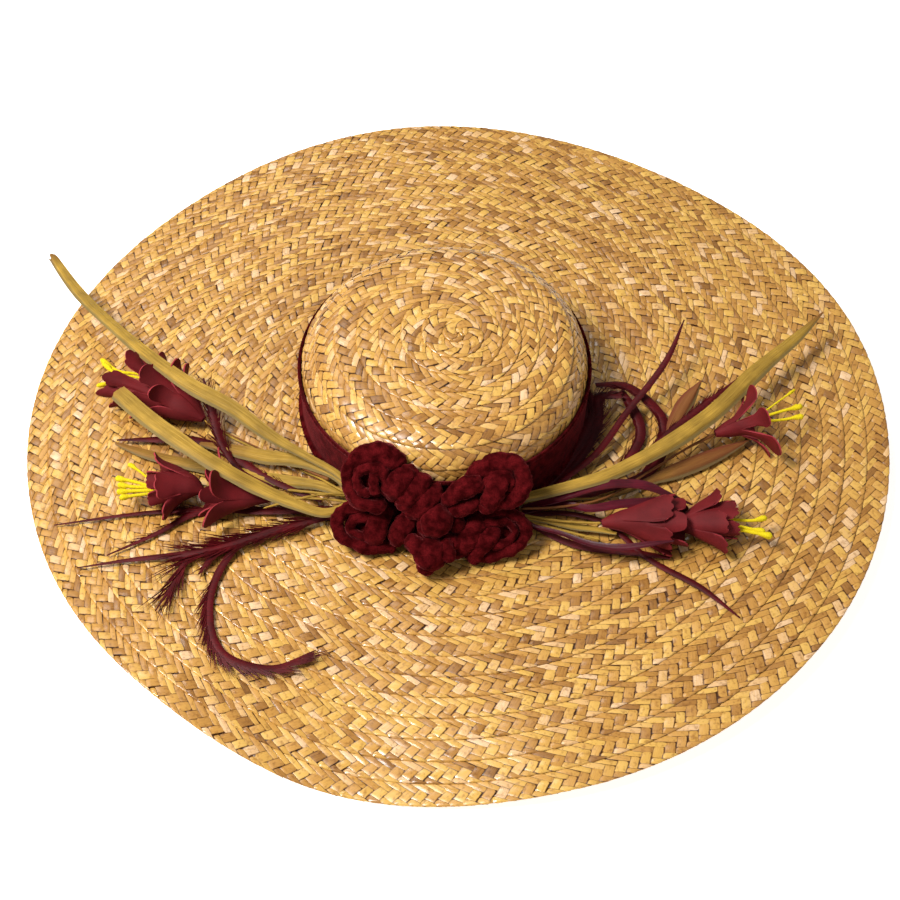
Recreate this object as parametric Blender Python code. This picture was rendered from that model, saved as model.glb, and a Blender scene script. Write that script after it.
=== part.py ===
"""Wide-brimmed sewn-straw hat with a low boater crown, velvet band and bow, dried leaves, flowers and feathers.

Metres, +Z up. The hat stands on its brim edge at z = 0, its front (the bow) towards -Y, and the origin lies
below the middle of its bounding box. Tables of places are in millimetres, in that same frame.
"""
import math

import bmesh
import bpy
from mathutils import Vector

MM = 0.001
GAP = 0.0003                # clearance between pieces that touch

# Crown, measured over the straw
CROWN_X = -0.0045
CROWN_Y = 0.0045
CROWN_HALF_WIDTH = 0.0920
CROWN_HALF_LENGTH = 0.0958
CROWN_TOP = 0.0750
DOME_RISE = 0.0030
SHOULDER_RADIUS = 0.0246
TIP_X = 0.0040
TIP_Y = 0.0062

# Brim
BRIM_X = 0.0045
BRIM_RADIUS = 0.2800
BRIM_LEVEL = 0.0112         # top of the straw where the brim is level
FILLET_RADIUS = 0.0090
WAVE_START = 0.1300         # nearer to the crown the brim doesn't wave
WAVE_POWER = 1.6

# Sewn straw braid
ROW_PITCH = 0.0130
ROW_STEP = 0.0008           # each row lies this much over the next one out
STRAW_WALL = 0.0024
SEGMENTS = 44

# Velvet
BAND_TOP = 0.0510
BAND_BOTTOM = 0.0135
BAND_WALL = 0.0013

# Height of the brim's edge above its level, by direction; the rows are its crests and dips
BRIM_WAVES = (
    # degrees, lift in mm
    (-165, 2.0),
    (-131, 12.0),
    (-103, -9.7),
    (-75, 1.5),
    (-42, 4.0),
    (-24, 3.0),
    (8, 5.0),
    (55, -6.0),
    (100, 2.0),
    (142, -5.5),
)

# Trim heights are measured where the brim is level, and the code adds the brim's wave below each place.
# Leaves: centre line, and the blade's width there, from the bow out to the tip
LEAVES = {
    "leaf_left_long": (
        # x, y, z, width
        (-58.3, -82.5, 27.5, 4),
        (-72, -68.5, 28.0, 4),
        (-90, -58, 30.0, 5),
        (-114, -45, 35.0, 8),
        (-139, -28, 41.5, 10),
        (-165, -14, 45.5, 10),
        (-192, 8, 46.0, 9),
        (-222, 40, 41.0, 8),
        (-255, 80, 36.0, 8),
        (-281.9, 122, 32.0, 6),
    ),
    "leaf_left_front": (
        (-58.3, -89.5, 26.5, 5),
        (-76, -99, 27.5, 6),
        (-97, -94, 31.0, 8),
        (-119, -86, 36.0, 10),
        (-141, -76, 42.0, 10),
        (-164, -61, 45.0, 11),
        (-189, -41, 45.0, 11),
        (-213, -17, 43.0, 11),
    ),
    "leaf_left_inner": (
        (-58.3, -84, 24.0, 6),
        (-72, -68, 24.5, 7),
        (-92, -57, 23.5, 9),
        (-118, -51, 21.0, 9),
        (-141, -44, 19.0, 8),
        (-161, -39, 18.0, 3),
    ),
    "leaf_left_low": (
        (-58.3, -85, 20.0, 6),
        (-79, -74, 20.0, 6),
        (-108, -67, 17.5, 8),
        (-145, -58, 15.5, 8),
        (-175, -51, 15.0, 8),
        (-193, -46, 15.0, 7),
        (-216, -37, 14.5, 2),
    ),
    "leaf_right_long": (
        (42.3, -88, 28.0, 6),
        (66, -82, 30.0, 8),
        (95, -73, 32.0, 9),
        (121, -59, 33.0, 10),
        (161, -30, 34.5, 11),
        (203, 14, 35.0, 10),
        (235, 45, 35.0, 6),
        (249, 60, 35.5, 1),
    ),
    "leaf_right_upright": (
        (42.3, -86, 24.5, 2),
        (68, -82, 25.0, 2),
        (93, -69, 24.0, 2),
        (126, -52, 23.0, 2),
        (139, -35, 22.5, 5),
        (145, -21, 22.5, 10),
        (154, -5, 24.0, 10),
        (164, 9, 27.0, 1),
    ),
    "leaf_right_brown": (
        (42.3, -86, 20.5, 2),
        (68, -82, 19.0, 2),
        (100, -78, 17.0, 2),
        (127, -64, 16.0, 6),
        (152, -53, 16.5, 11),
        (174, -42, 16.5, 8),
        (192, -33, 17.0, 1),
    ),
    "leaf_right_low": (
        (42.3, -96, 19.8, 3),
        (58, -98, 18.6, 3),
        (74, -101, 17.8, 4),
        (89, -103, 17.2, 4),
        (102, -106, 16.8, 2),
    ),
}
LEAF_THICKNESS = 1.4

# Feathers: each strip's centre line and width, fused to one bound head a side beside the bow
FEATHERS_LEFT = (
    (
        # x, y, z, width
        (-60, -87, 15.5, 4),
        (-125, -88, 14.5, 4),
        (-185, -91, 13.6, 3),
        (-244, -102, 13.3, 1),
    ),
    (
        (-60, -88, 15.5, 4),
        (-117, -90, 15.0, 4),
        (-156, -90, 13.8, 5),
        (-181, -108, 13.4, 3),
        (-208, -125, 13.3, 1),
    ),
    (
        (-60, -89, 16.0, 5),
        (-111, -106, 16.0, 9),
        (-145, -120, 15.5, 10),
        (-196, -129, 14.0, 4),
        (-224, -135, 13.3, 1),
    ),
    (
        (-122, -112, 15.6, 5),
        (-145, -118, 14.8, 6),
        (-158, -126, 14.0, 6),
        (-165, -145, 13.5, 5),
        (-173, -166, 13.3, 1),
    ),
    (
        (-116, -107, 16.0, 4),
        (-128, -115, 15.0, 6),
        (-137, -130, 14.0, 6),
        (-142, -162, 13.8, 7),
        (-131, -193, 13.6, 9),
        (-103, -200, 13.5, 7),
        (-78, -187, 13.3, 1),
    ),
)
FEATHERS_RIGHT = (
    (
        (45, -88, 15.5, 4),
        (72, -64, 17.0, 4),
        (90, -49, 20.0, 5),
        (114, -15, 24.0, 5),
        (143, 24, 34.0, 5),
        (155, 51, 40.0, 1),
    ),
    (
        (45, -90, 15.5, 4),
        (94, -72, 15.0, 4),
        (127, -55, 14.5, 5),
        (138, -31, 15.0, 5),
        (137, -14, 18.0, 5),
        (129, -4, 22.0, 5),
        (115, 5, 26.0, 6),
        (94, 3, 30.0, 3),
    ),
    (
        (45, -90, 15.2, 4),
        (88, -72, 14.8, 4),
        (114, -46, 14.5, 4),
        (123, -23, 16.5, 5),
        (119, -9, 19.5, 6),
        (112, 5, 22.0, 3),
    ),
    (
        (45, -87, 15.3, 4),
        (66, -68, 15.0, 4),
        (88, -35, 17.0, 5),
        (95, -18, 20.0, 6),
        (97, -2, 24.0, 6),
        (111, -4, 26.0, 3),
    ),
    (
        (45, -92, 16.0, 4),
        (71, -90, 16.0, 4),
        (93, -95, 15.0, 4),
        (121, -123, 13.8, 4),
        (152, -145, 13.5, 4),
        (171, -165, 13.3, 1),
    ),
    (
        (45, -95, 15.0, 4),
        (75, -112, 14.3, 5),
        (113, -118, 13.8, 5),
        (134, -122, 13.4, 2),
    ),
)
FEATHER_THICKNESS = 1.3
FEATHER_HEAD_LENGTH = 0.0090
FEATHER_HEAD_HEIGHT = 0.0040

# Flowers: rows from the bell's base to its mouth, whose radius is sideways; upwards it is less
FLOWERS = {
    "flower_left_large": (
        # x, y, z, radius
        (-160, -22, 22.0, 1.8),
        (-169, -12, 24.5, 8.5),
        (-182, 1, 26.0, 12.5),
        (-195, 10, 27.0, 14.0),
    ),
    "flower_left_inner": (
        (-111, -84, 21.0, 1.8),
        (-119, -84, 22.5, 4.5),
        (-130, -85, 24.0, 8.0),
        (-148, -85, 25.5, 10.0),
    ),
    "flower_left_outer": (
        (-154, -82, 25.5, 1.8),
        (-160, -80, 26.0, 6.5),
        (-169, -79, 26.0, 9.5),
        (-182, -81, 26.0, 9.0),
    ),
    "flower_right_upper": (
        (169, -34, 25.0, 1.8),
        (178, -31, 26.0, 5.0),
        (186, -28, 26.5, 6.5),
        (195, -25, 27.0, 7.5),
    ),
    "flower_right_inner": (
        (93, -101.5, 21.5, 1.8),
        (105, -101, 23.5, 6.5),
        (117, -102, 24.5, 10.0),
        (129, -103, 25.0, 12.5),
    ),
    "flower_right_outer": (
        (137, -105, 25.0, 1.8),
        (143, -104, 25.0, 6.0),
        (152, -103, 25.0, 10.0),
        (164, -102, 25.0, 11.0),
    ),
}
FLOWER_PETALS = {
    # petals, their length in mm, and how far their tips flare out
    "flower_left_large": (6, 17, 6.0),
    "flower_left_inner": (5, 6, 3.0),
    "flower_left_outer": (5, 7, 1.0),
    "flower_right_upper": (6, 14, 6.0),
    "flower_right_inner": (5, 10, 1.5),
    "flower_right_outer": (5, 11, 1.0),
}
PETAL_STEPS = 3             # facets across one petal
FOAM = 1.5                  # wall of the flowers in mm
BELL_FLATTENING = 0.8       # height of a bell over its width

# Wire stems: rows from the bow to just short of a bell's base; the outer bells' start inside the inner ones
STEMS = {
    "stem_left_large": (
        # x, y, z
        (-58.3, -84, 22.2),
        (-72, -76, 22.4),
        (-81, -68.6, 20.5),
        (-96, -57, 15.0),
        (-119, -43, 13.6),
        (-140, -32, 14.5),
        (-153, -26, 18.0),
    ),
    "stem_left_inner": (
        (-58.3, -89, 23.2),
        (-76, -86, 23.0),
        (-94, -84, 21.5),
    ),
    "stem_left_outer": (
        (-130.6, -85, 24.1),
        (-144, -85, 25.0),
    ),
    "stem_right_upper": (
        (42.3, -94, 25.5),
        (67, -92, 25.0),
        (92, -85, 23.0),
        (125, -62, 22.0),
        (152, -43, 23.0),
    ),
    "stem_right_inner": (
        (42.3, -96, 22.3),
        (67, -100, 21.5),
        (84, -101, 21.0),
    ),
    "stem_right_outer": (
        (117.6, -102, 24.5),
        (127, -103.5, 25.0),
    ),
}
STEM_RADIUS = 0.8
SEAT = 0.5                  # clearance at the end of a stem or stamen in mm

# Stamens: one tapered bundle a flower, rows from the bell's mouth outwards, seated on the hollow's floor
STAMENS = {
    "flower_left_large": ((-198, 12, 27.5, 2.4), (-220, 23, 28, 2.6), (-232, 31, 29, 1.0)),
    "flower_left_outer": ((-183, -80.5, 26.5, 3.0), (-195, -80, 26.5, 3.6), (-209, -81, 27, 3.0)),
    "flower_right_upper": ((196, -25, 27.5, 2.0), (212, -20, 29, 2.8), (227, -15, 30, 1.8)),
    "flower_right_outer": ((166, -102, 25.5, 2.4), (184, -103, 25, 3.2), (194, -106, 25, 2.4)),
}

# Bow: four coiled lobes, their twisted necks and two ruched knots, all facing the viewer's eye height
BOW_TILT = math.radians(38)
BOW_LOBES = {
    # x, y, z of the middle, half width, half height, radius of the velvet roll
    "bow_lobe_upper_left": (-47.0, -93.1, 57.4, 12.0, 10.5, 6.8),
    "bow_lobe_lower_left": (-51.0, -105.2, 24.5, 14.5, 7.5, 6.4),
    "bow_lobe_upper_right": (32.0, -96.3, 55.7, 12.0, 9.5, 6.8),
    "bow_lobe_lower_right": (27.4, -111.0, 24.0, 14.0, 7.0, 6.4),
}
BOW_NECKS = {
    # start x, y, z, end x, y, z, radius
    "bow_neck_upper_left": (-23.4, -100.3, 51.2, -17.8, -102.6, 47.6, 6.3),
    "bow_neck_lower_left": (-25.4, -110.3, 24.5, -23.0, -110.5, 25.0, 6.0),
    "bow_neck_upper_right": (7.0, -101.5, 50.0, 2.2, -103.6, 46.7, 6.0),
    "bow_neck_lower_right": (1.8, -114.5, 22.5, 0.1, -114.1, 23.7, 5.8),
}
BOW_KNOTS = {
    # x, y, z, radius
    "bow_knot_centre": (-8.5, -111.0, 35.6, 9.5),
    "bow_knot_lower": (-11.0, -127.6, 23.3, 10.5),
}

# Bindings: the wrapped bundles hidden behind the bow, whose outer faces hold leaves, stems and feathers
BINDINGS = {
    # face x, depth, lowest y, highest y, top z
    "binding_left": (-58.0, 2.0, -93.0, -80.4, 28.8),
    "binding_right": (42.0, 2.0, -99.5, -84.8, 29.4),
}
BINDING_FOOT = 13.8         # just above the brim

MATERIALS = {
    # red, green, blue, roughness
    "straw": (0.62, 0.38, 0.11, 0.45),
    "velvet": (0.085, 0.006, 0.012, 0.85),
    "leaf": (0.42, 0.26, 0.055, 0.65),
    "foam": (0.17, 0.012, 0.018, 0.70),
    "feather": (0.10, 0.005, 0.012, 0.45),
    "stamen": (0.80, 0.60, 0.02, 0.55),
}


def clear_scene():
    for item in list(bpy.data.objects):
        bpy.data.objects.remove(item, do_unlink=True)


def make_material(name):
    red, green, blue, roughness = MATERIALS[name]
    material = bpy.data.materials.new(name)
    material.use_nodes = True
    shader = material.node_tree.nodes["Principled BSDF"]
    shader.inputs["Base Color"].default_value = (red, green, blue, 1)
    shader.inputs["Roughness"].default_value = roughness
    shader.inputs["Metallic"].default_value = 0.0
    return material


def smoothstep(t):
    t = min(max(t, 0.0), 1.0)
    return t * t * (3 - 2 * t)


def edge_lift(angle):
    """Lift of the brim's edge in metres, eased from one crest or dip to the next."""
    degrees = math.degrees(angle) % 360
    rows = sorted((row[0] % 360, row[1]) for row in BRIM_WAVES)
    rows = [(rows[-1][0] - 360, rows[-1][1])] + rows + [(rows[0][0] + 360, rows[0][1])]
    for (start, low), (end, high) in zip(rows, rows[1:]):
        if start <= degrees <= end:
            return (low + (high - low) * smoothstep((degrees - start) / (end - start))) * MM
    return 0.0


# The straw's outer surface is one profile from the tip to the brim's edge, measured by its arc length
MEAN_RADIUS = (CROWN_HALF_WIDTH + CROWN_HALF_LENGTH) / 2
TOP_LENGTH = MEAN_RADIUS - SHOULDER_RADIUS
SHOULDER_END = TOP_LENGTH + SHOULDER_RADIUS * math.pi / 2
SHOULDER_LEVEL = CROWN_TOP - DOME_RISE - SHOULDER_RADIUS
WALL_END = SHOULDER_END + SHOULDER_LEVEL - BRIM_LEVEL - FILLET_RADIUS
FILLET_END = WALL_END + FILLET_RADIUS * math.pi / 2
EDGE = FILLET_END + BRIM_RADIUS - MEAN_RADIUS - FILLET_RADIUS

# Arc lengths where the profile bends, so that no facet cuts a bend short
PROFILE_BENDS = (
    TOP_LENGTH,
    TOP_LENGTH + (SHOULDER_END - TOP_LENGTH) / 3,
    TOP_LENGTH + (SHOULDER_END - TOP_LENGTH) * 2 / 3,
    SHOULDER_END,
    WALL_END + (FILLET_END - WALL_END) / 3,
    WALL_END + (FILLET_END - WALL_END) * 2 / 3,
    FILLET_END,
)


def profile(length):
    """Radius and height of the straw's outer surface, and its outward normal, at an arc length from the tip."""
    if length <= TOP_LENGTH:
        return length, CROWN_TOP - DOME_RISE * (length / TOP_LENGTH) ** 2, 0.0, 1.0
    if length <= SHOULDER_END:
        turn = (length - TOP_LENGTH) / SHOULDER_RADIUS
        radius = TOP_LENGTH + SHOULDER_RADIUS * math.sin(turn)
        return radius, SHOULDER_LEVEL + SHOULDER_RADIUS * math.cos(turn), math.sin(turn), math.cos(turn)
    if length <= WALL_END:
        return MEAN_RADIUS, SHOULDER_LEVEL - (length - SHOULDER_END), 1.0, 0.0
    if length <= FILLET_END:
        turn = (length - WALL_END) / FILLET_RADIUS
        radius = MEAN_RADIUS + FILLET_RADIUS * (1 - math.cos(turn))
        return radius, BRIM_LEVEL + FILLET_RADIUS * (1 - math.sin(turn)), math.cos(turn), math.sin(turn)
    return MEAN_RADIUS + FILLET_RADIUS + length - FILLET_END, BRIM_LEVEL, 0.0, 1.0


def straw_point(length, angle, offset):
    """A point on the straw's surface, moved along its normal by offset."""
    radius, height, normal_out, normal_up = profile(length)
    radius += normal_out * offset
    height += normal_up * offset
    brim_share = min(max((radius - MEAN_RADIUS) / (BRIM_RADIUS - MEAN_RADIUS), 0.0), 1.0)
    tip_share = max(1 - (radius / MEAN_RADIUS) ** 2, 0.0) if length < SHOULDER_END else 0.0
    centre_x = CROWN_X + (BRIM_X - CROWN_X) * brim_share + (TIP_X - CROWN_X) * tip_share
    centre_y = CROWN_Y * (1 - brim_share) + (TIP_Y - CROWN_Y) * tip_share
    width = CROWN_HALF_WIDTH / MEAN_RADIUS * (1 - brim_share) + brim_share
    depth = CROWN_HALF_LENGTH / MEAN_RADIUS * (1 - brim_share) + brim_share
    reach = max((radius - WAVE_START) / (BRIM_RADIUS - WAVE_START), 0.0) ** WAVE_POWER
    return Vector((
        centre_x + radius * width * math.cos(angle),
        centre_y + radius * depth * math.sin(angle),
        height + edge_lift(angle) * reach,
    ))


def straw_ring(length, offset):
    return [straw_point(length, 2 * math.pi * k / SEGMENTS, offset) for k in range(SEGMENTS)]


def row_rings(start, end):
    """Rings of the shingled outer surface: each row rises outwards, then steps down at its seam."""
    half_seam = 0.0003
    lengths = [start, end]
    lengths += [bend for bend in PROFILE_BENDS if start + 0.001 < bend < end - 0.001]
    for row in range(1, math.ceil(EDGE / ROW_PITCH)):
        seam = EDGE - row * ROW_PITCH
        if start + 0.002 < seam < end - 0.002:
            lengths = [length for length in lengths if abs(length - seam) > 0.002]
            lengths += [seam - half_seam, seam + half_seam]
    rings = []
    for length in sorted(lengths):
        in_row = 1 - (EDGE - length) / ROW_PITCH % 1
        rings.append(straw_ring(length, -ROW_STEP * (1 - in_row)))
    return rings


def build_object(name, rings, material, closed_loop=False):
    """Joins rings of equal count into one closed body: a loop of rings, or a tube with capped ends."""
    mesh_data = bmesh.new()
    rows = [[mesh_data.verts.new(point) for point in ring] for ring in rings]
    count = len(rows[0])
    pairs = list(zip(rows, rows[1:]))
    if closed_loop:
        pairs.append((rows[-1], rows[0]))
    else:
        mesh_data.faces.new(rows[0])
        mesh_data.faces.new(rows[-1])
    for lower, upper in pairs:
        for k in range(count):
            following = (k + 1) % count
            mesh_data.faces.new((lower[k], lower[following], upper[following], upper[k]))
    bmesh.ops.recalc_face_normals(mesh_data, faces=mesh_data.faces)
    if mesh_data.calc_volume(signed=True) < 0:
        bmesh.ops.reverse_faces(mesh_data, faces=mesh_data.faces)
    bmesh.ops.triangulate(mesh_data, faces=[face for face in mesh_data.faces if len(face.verts) == 4])
    mesh = bpy.data.meshes.new(name)
    mesh_data.to_mesh(mesh)
    mesh_data.free()
    mesh.materials.append(material)
    mesh.shade_smooth()
    mesh.set_sharp_from_angle(angle=math.radians(35))
    item = bpy.data.objects.new(name, mesh)
    bpy.context.scene.collection.objects.link(item)
    return item


def make_crown(straw):
    """Hollow crown: shingled outside, smooth inside, with a flat disc inside its top."""
    bottom = WALL_END - GAP / 2
    outside = row_rings(0.008, bottom)
    inside_lengths = (bottom, SHOULDER_END, TOP_LENGTH + 0.026, TOP_LENGTH + 0.013, TOP_LENGTH, 0.025)
    inside = [straw_ring(length, -STRAW_WALL) for length in inside_lengths]
    return build_object("crown", outside + inside, straw)


def make_brim(straw):
    """Brim ring with its rows stepped on top, waved at the edge, plain below."""
    start = WALL_END + GAP / 2
    outside = row_rings(start, EDGE)
    rows_below = 6
    inside = [straw_ring(EDGE - 0.0004, -STRAW_WALL)]
    for k in range(1, rows_below):
        inside.append(straw_ring(EDGE + (FILLET_END - EDGE) * k / rows_below, -STRAW_WALL))
    inside.append(straw_ring(FILLET_END, -STRAW_WALL))
    inside.append(straw_ring((WALL_END + FILLET_END) / 2, -STRAW_WALL))
    inside.append(straw_ring(start, -STRAW_WALL))
    return build_object("brim", outside + inside, straw, closed_loop=True)


def length_at_height(height):
    """Arc length where the crown's wall or its foot has a given height."""
    if height >= BRIM_LEVEL + FILLET_RADIUS:
        return SHOULDER_END + SHOULDER_LEVEL - height
    return WALL_END + FILLET_RADIUS * math.asin((BRIM_LEVEL + FILLET_RADIUS - height) / FILLET_RADIUS)


def make_band(velvet):
    """Velvet ribbon round the crown's foot, a closed strip that follows the wall and the start of the brim."""
    top = length_at_height(BAND_TOP)
    bottom = length_at_height(BAND_BOTTOM)
    lengths = (top, top + 0.010, WALL_END, WALL_END + (bottom - WALL_END) / 2, bottom)
    outside = [straw_ring(length, GAP + BAND_WALL) for length in lengths]
    inside = [straw_ring(length, GAP) for length in reversed(lengths)]
    return build_object("band", outside + inside, velvet, closed_loop=True)


def on_brim(x, y, z):
    """A place in millimetres as a point in metres, raised by the brim's wave below it."""
    across = (x * MM - BRIM_X)
    reach = max((math.hypot(across, y * MM) - WAVE_START) / (BRIM_RADIUS - WAVE_START), 0.0) ** WAVE_POWER
    return Vector((x * MM, y * MM, z * MM + edge_lift(math.atan2(y * MM, across)) * reach))


def frames_along(rows, square_start):
    """Centre, side and upward vectors, and size, at each row of a centre line."""
    points = [on_brim(*row[:3]) for row in rows]
    frames = []
    for index, row in enumerate(rows):
        before = points[max(index - 1, 0)]
        after = points[min(index + 1, len(rows) - 1)]
        direction = (after - before).normalized()
        if index == 0 and square_start:
            direction = Vector((math.copysign(1, direction.x), 0, 0))
        side = direction.cross(Vector((0, 0, 1))).normalized()
        upward = side.cross(direction).normalized()
        frames.append((points[index], side, upward, row[3] * MM))
    return frames


def oval_ring(frame, radius, count, height=1.0):
    """Points round a frame's centre, as high as height times their width."""
    centre, side, upward, _size = frame
    turns = [2 * math.pi * k / count for k in range(count)]
    return [centre + side * math.cos(turn) * radius + upward * math.sin(turn) * radius * height for turn in turns]


def blade_rings(rows, thickness, square_start=True):
    """Four-sided sections of a leaf or feather: two edges, a ridge above and a keel below."""
    rings = []
    for centre, side, upward, width in frames_along(rows, square_start):
        half = min(thickness * MM / 2, width / 2)
        rings.append([centre - side * width / 2, centre - upward * half,
                      centre + side * width / 2, centre + upward * half])
    return rings


def make_leaves(leaf):
    for name, rows in LEAVES.items():
        build_object(name, blade_rings(rows, LEAF_THICKNESS), leaf)


def box_rings(near_x, far_x, low_y, high_y, low_z, high_z):
    """Two square sections of a block that runs along X, in metres."""
    return [[Vector((x, low_y, low_z)), Vector((x, high_y, low_z)), Vector((x, high_y, high_z)),
             Vector((x, low_y, high_z))] for x in (near_x, far_x)]


def make_feather_spray(name, binding, strips, feather):
    """Feather strips fused to one small bound head beside the bow."""
    face_x, _depth, low_y, high_y, _top = (value * MM for value in BINDINGS[binding])
    outwards = math.copysign(1, face_x)
    foot = BINDING_FOOT * MM
    spray = build_object(name, box_rings(
        face_x + outwards * GAP, face_x + outwards * FEATHER_HEAD_LENGTH, low_y, high_y, foot,
        foot + FEATHER_HEAD_HEIGHT), feather)
    parts = bpy.data.collections.new(name + "_strips")
    bpy.context.scene.collection.children.link(parts)
    for index, rows in enumerate(strips):
        strip = build_object(name + "_strip_" + str(index), blade_rings(rows, FEATHER_THICKNESS, False), feather)
        bpy.context.scene.collection.objects.unlink(strip)
        parts.objects.link(strip)
        strip.hide_render = True
        strip.display_type = "WIRE"
    union = spray.modifiers.new("strips", "BOOLEAN")
    union.operation = "UNION"
    union.solver = "EXACT"
    union.operand_type = "COLLECTION"
    union.collection = parts


def petal_share(index):
    """0 in the cleft between two petals and 1 along a petal's middle."""
    return math.sin(math.pi * (index % PETAL_STEPS) / PETAL_STEPS)


def make_flower(name, foam):
    """A hollow bell that opens from its base to a mouth with petals."""
    petals, petal_length, flare = FLOWER_PETALS[name]
    count = petals * PETAL_STEPS
    wall = FOAM * MM
    frames = frames_along(FLOWERS[name], False)
    onward = (frames[-1][0] - frames[-2][0]).normalized()

    def petal_ring(radius):
        middle, side, upward, _size = frames[-1]
        points = []
        for k in range(count):
            turn = 2 * math.pi * k / count
            reach = radius + flare * MM * petal_share(k)
            points.append(middle + side * math.cos(turn) * reach
                          + upward * math.sin(turn) * reach * BELL_FLATTENING
                          + onward * petal_length * MM * petal_share(k))
        return points

    rings = [oval_ring(frame, frame[3], count, BELL_FLATTENING) for frame in frames]
    rings.append(petal_ring(frames[-1][3]))
    rings.append(petal_ring(frames[-1][3] - wall))
    rings += [oval_ring(frame, frame[3] - wall, count, BELL_FLATTENING) for frame in (frames[-1], frames[-2])]
    build_object(name, rings, foam)


def make_stems(leaf):
    """Thin wires, each ending just short of its bell's base."""
    sides = 5
    for name, rows in STEMS.items():
        base = Vector(FLOWERS[name.replace("stem", "flower")][0][:3])
        last = Vector(rows[-1])
        end = base + (last - base).normalized() * SEAT
        line = [row + (STEM_RADIUS,) for row in rows] + [tuple(end) + (STEM_RADIUS,)]
        frames = frames_along(line, "outer" not in name)
        build_object(name, [oval_ring(frame, frame[3], sides) for frame in frames], leaf)


def make_stamens(stamen):
    """One bundle a flower, which stands on the floor of the bell's hollow."""
    sides = 6
    for flower, rows in STAMENS.items():
        floor = Vector(FLOWERS[flower][-2][:3])
        start = floor + (Vector(rows[0][:3]) - floor).normalized() * SEAT
        line = [tuple(start) + (rows[0][3] * 0.6,)] + list(rows)
        rings = [oval_ring(frame, frame[3], sides) for frame in frames_along(line, False)]
        build_object(flower.replace("flower", "stamens"), rings, stamen)


def tilted(across, raised, outward):
    """A vector in the bow's own plane, which leans back towards the crown."""
    return Vector((
        across,
        raised * math.cos(BOW_TILT) - outward * math.sin(BOW_TILT),
        raised * math.sin(BOW_TILT) + outward * math.cos(BOW_TILT),
    ))


def make_bow_lobe(name, velvet):
    x, y, z, half_width, half_height, roll = (value * MM for value in BOW_LOBES[name])
    turns = 14
    sides = 7
    rings = []
    for k in range(turns):
        turn = 2 * math.pi * k / turns
        ring = []
        for j in range(sides):
            around = 2 * math.pi * j / sides
            reach = 1 + roll * math.cos(around) / math.hypot(half_width * math.cos(turn), half_height * math.sin(turn))
            ring.append(Vector((x, y, z)) + tilted(
                half_width * math.cos(turn) * reach,
                half_height * math.sin(turn) * reach,
                roll * math.sin(around),
            ))
        rings.append(ring)
    return build_object(name, rings, velvet, closed_loop=True)


def capsule_rings(start, end, radius, sides):
    """Rings of a rounded roll between two points."""
    axis = (end - start).normalized()
    side = axis.cross(Vector((0, 0, 1))).normalized()
    upward = side.cross(axis)
    rings = []
    for along, size in ((-0.95, 0.32), (-0.6, 0.8), (0.0, 1.0)):
        rings.append((start + axis * radius * along, size))
    for along, size in ((0.0, 1.0), (0.6, 0.8), (0.95, 0.32)):
        rings.append((end + axis * radius * along, size))
    return [[centre + (side * math.cos(turn) + upward * math.sin(turn)) * radius * size
             for turn in (2 * math.pi * k / sides for k in range(sides))]
            for centre, size in rings]


def make_bow(velvet):
    for name in BOW_LOBES:
        make_bow_lobe(name, velvet)
    for name, row in BOW_NECKS.items():
        start = Vector(row[0:3]) * MM
        end = Vector(row[3:6]) * MM
        build_object(name, capsule_rings(start, end, row[6] * MM, 8), velvet)
    for name, (x, y, z, radius) in BOW_KNOTS.items():
        half = Vector((0, 0, radius * 0.15)) * MM
        centre = Vector((x, y, z)) * MM
        tilt = Vector((0.002, -0.001, 0.0))
        build_object(name, capsule_rings(centre - half - tilt, centre + half + tilt, radius * MM, 10), velvet)


def make_bindings(velvet):
    for name, row in BINDINGS.items():
        face_x, depth, low_y, high_y, top = (value * MM for value in row)
        inner_x = face_x - math.copysign(depth, face_x)
        build_object(name, box_rings(inner_x, face_x, low_y, high_y, BINDING_FOOT * MM, top), velvet)


def main():
    clear_scene()
    straw = make_material("straw")
    velvet = make_material("velvet")
    leaf = make_material("leaf")
    foam = make_material("foam")
    feather = make_material("feather")
    stamen = make_material("stamen")
    make_crown(straw)
    make_brim(straw)
    make_band(velvet)
    make_bow(velvet)
    make_bindings(velvet)
    make_leaves(leaf)
    make_feather_spray("feathers_left", "binding_left", FEATHERS_LEFT, feather)
    make_feather_spray("feathers_right", "binding_right", FEATHERS_RIGHT, feather)
    for name in FLOWERS:
        make_flower(name, foam)
    make_stems(leaf)
    make_stamens(stamen)


main()
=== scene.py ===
"""Looks of the wide-brimmed straw boater hat: straw, velvet, dried leaves, foam flowers and feathers.

Metres, +Z up, front (the bow) towards -Y. Tables of places are in millimetres in the same frame.
"""
import math

import bmesh
import bpy
import numpy as np
from mathutils import Matrix, Vector, noise


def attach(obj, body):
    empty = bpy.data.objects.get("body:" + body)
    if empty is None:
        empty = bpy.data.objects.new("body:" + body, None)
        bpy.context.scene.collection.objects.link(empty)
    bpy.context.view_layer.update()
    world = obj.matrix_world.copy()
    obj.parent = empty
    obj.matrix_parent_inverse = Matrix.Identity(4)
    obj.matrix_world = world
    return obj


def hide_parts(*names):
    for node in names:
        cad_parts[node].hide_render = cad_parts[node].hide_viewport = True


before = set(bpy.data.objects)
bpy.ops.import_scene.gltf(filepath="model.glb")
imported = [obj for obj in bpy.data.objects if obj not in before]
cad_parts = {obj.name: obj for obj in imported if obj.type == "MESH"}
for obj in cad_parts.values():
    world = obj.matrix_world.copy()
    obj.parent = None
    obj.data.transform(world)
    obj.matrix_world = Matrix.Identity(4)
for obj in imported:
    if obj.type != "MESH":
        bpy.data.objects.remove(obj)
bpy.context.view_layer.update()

MM = 0.001
SEED = 11
UP = np.array((0.0, 0.0, 1.0))

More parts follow.
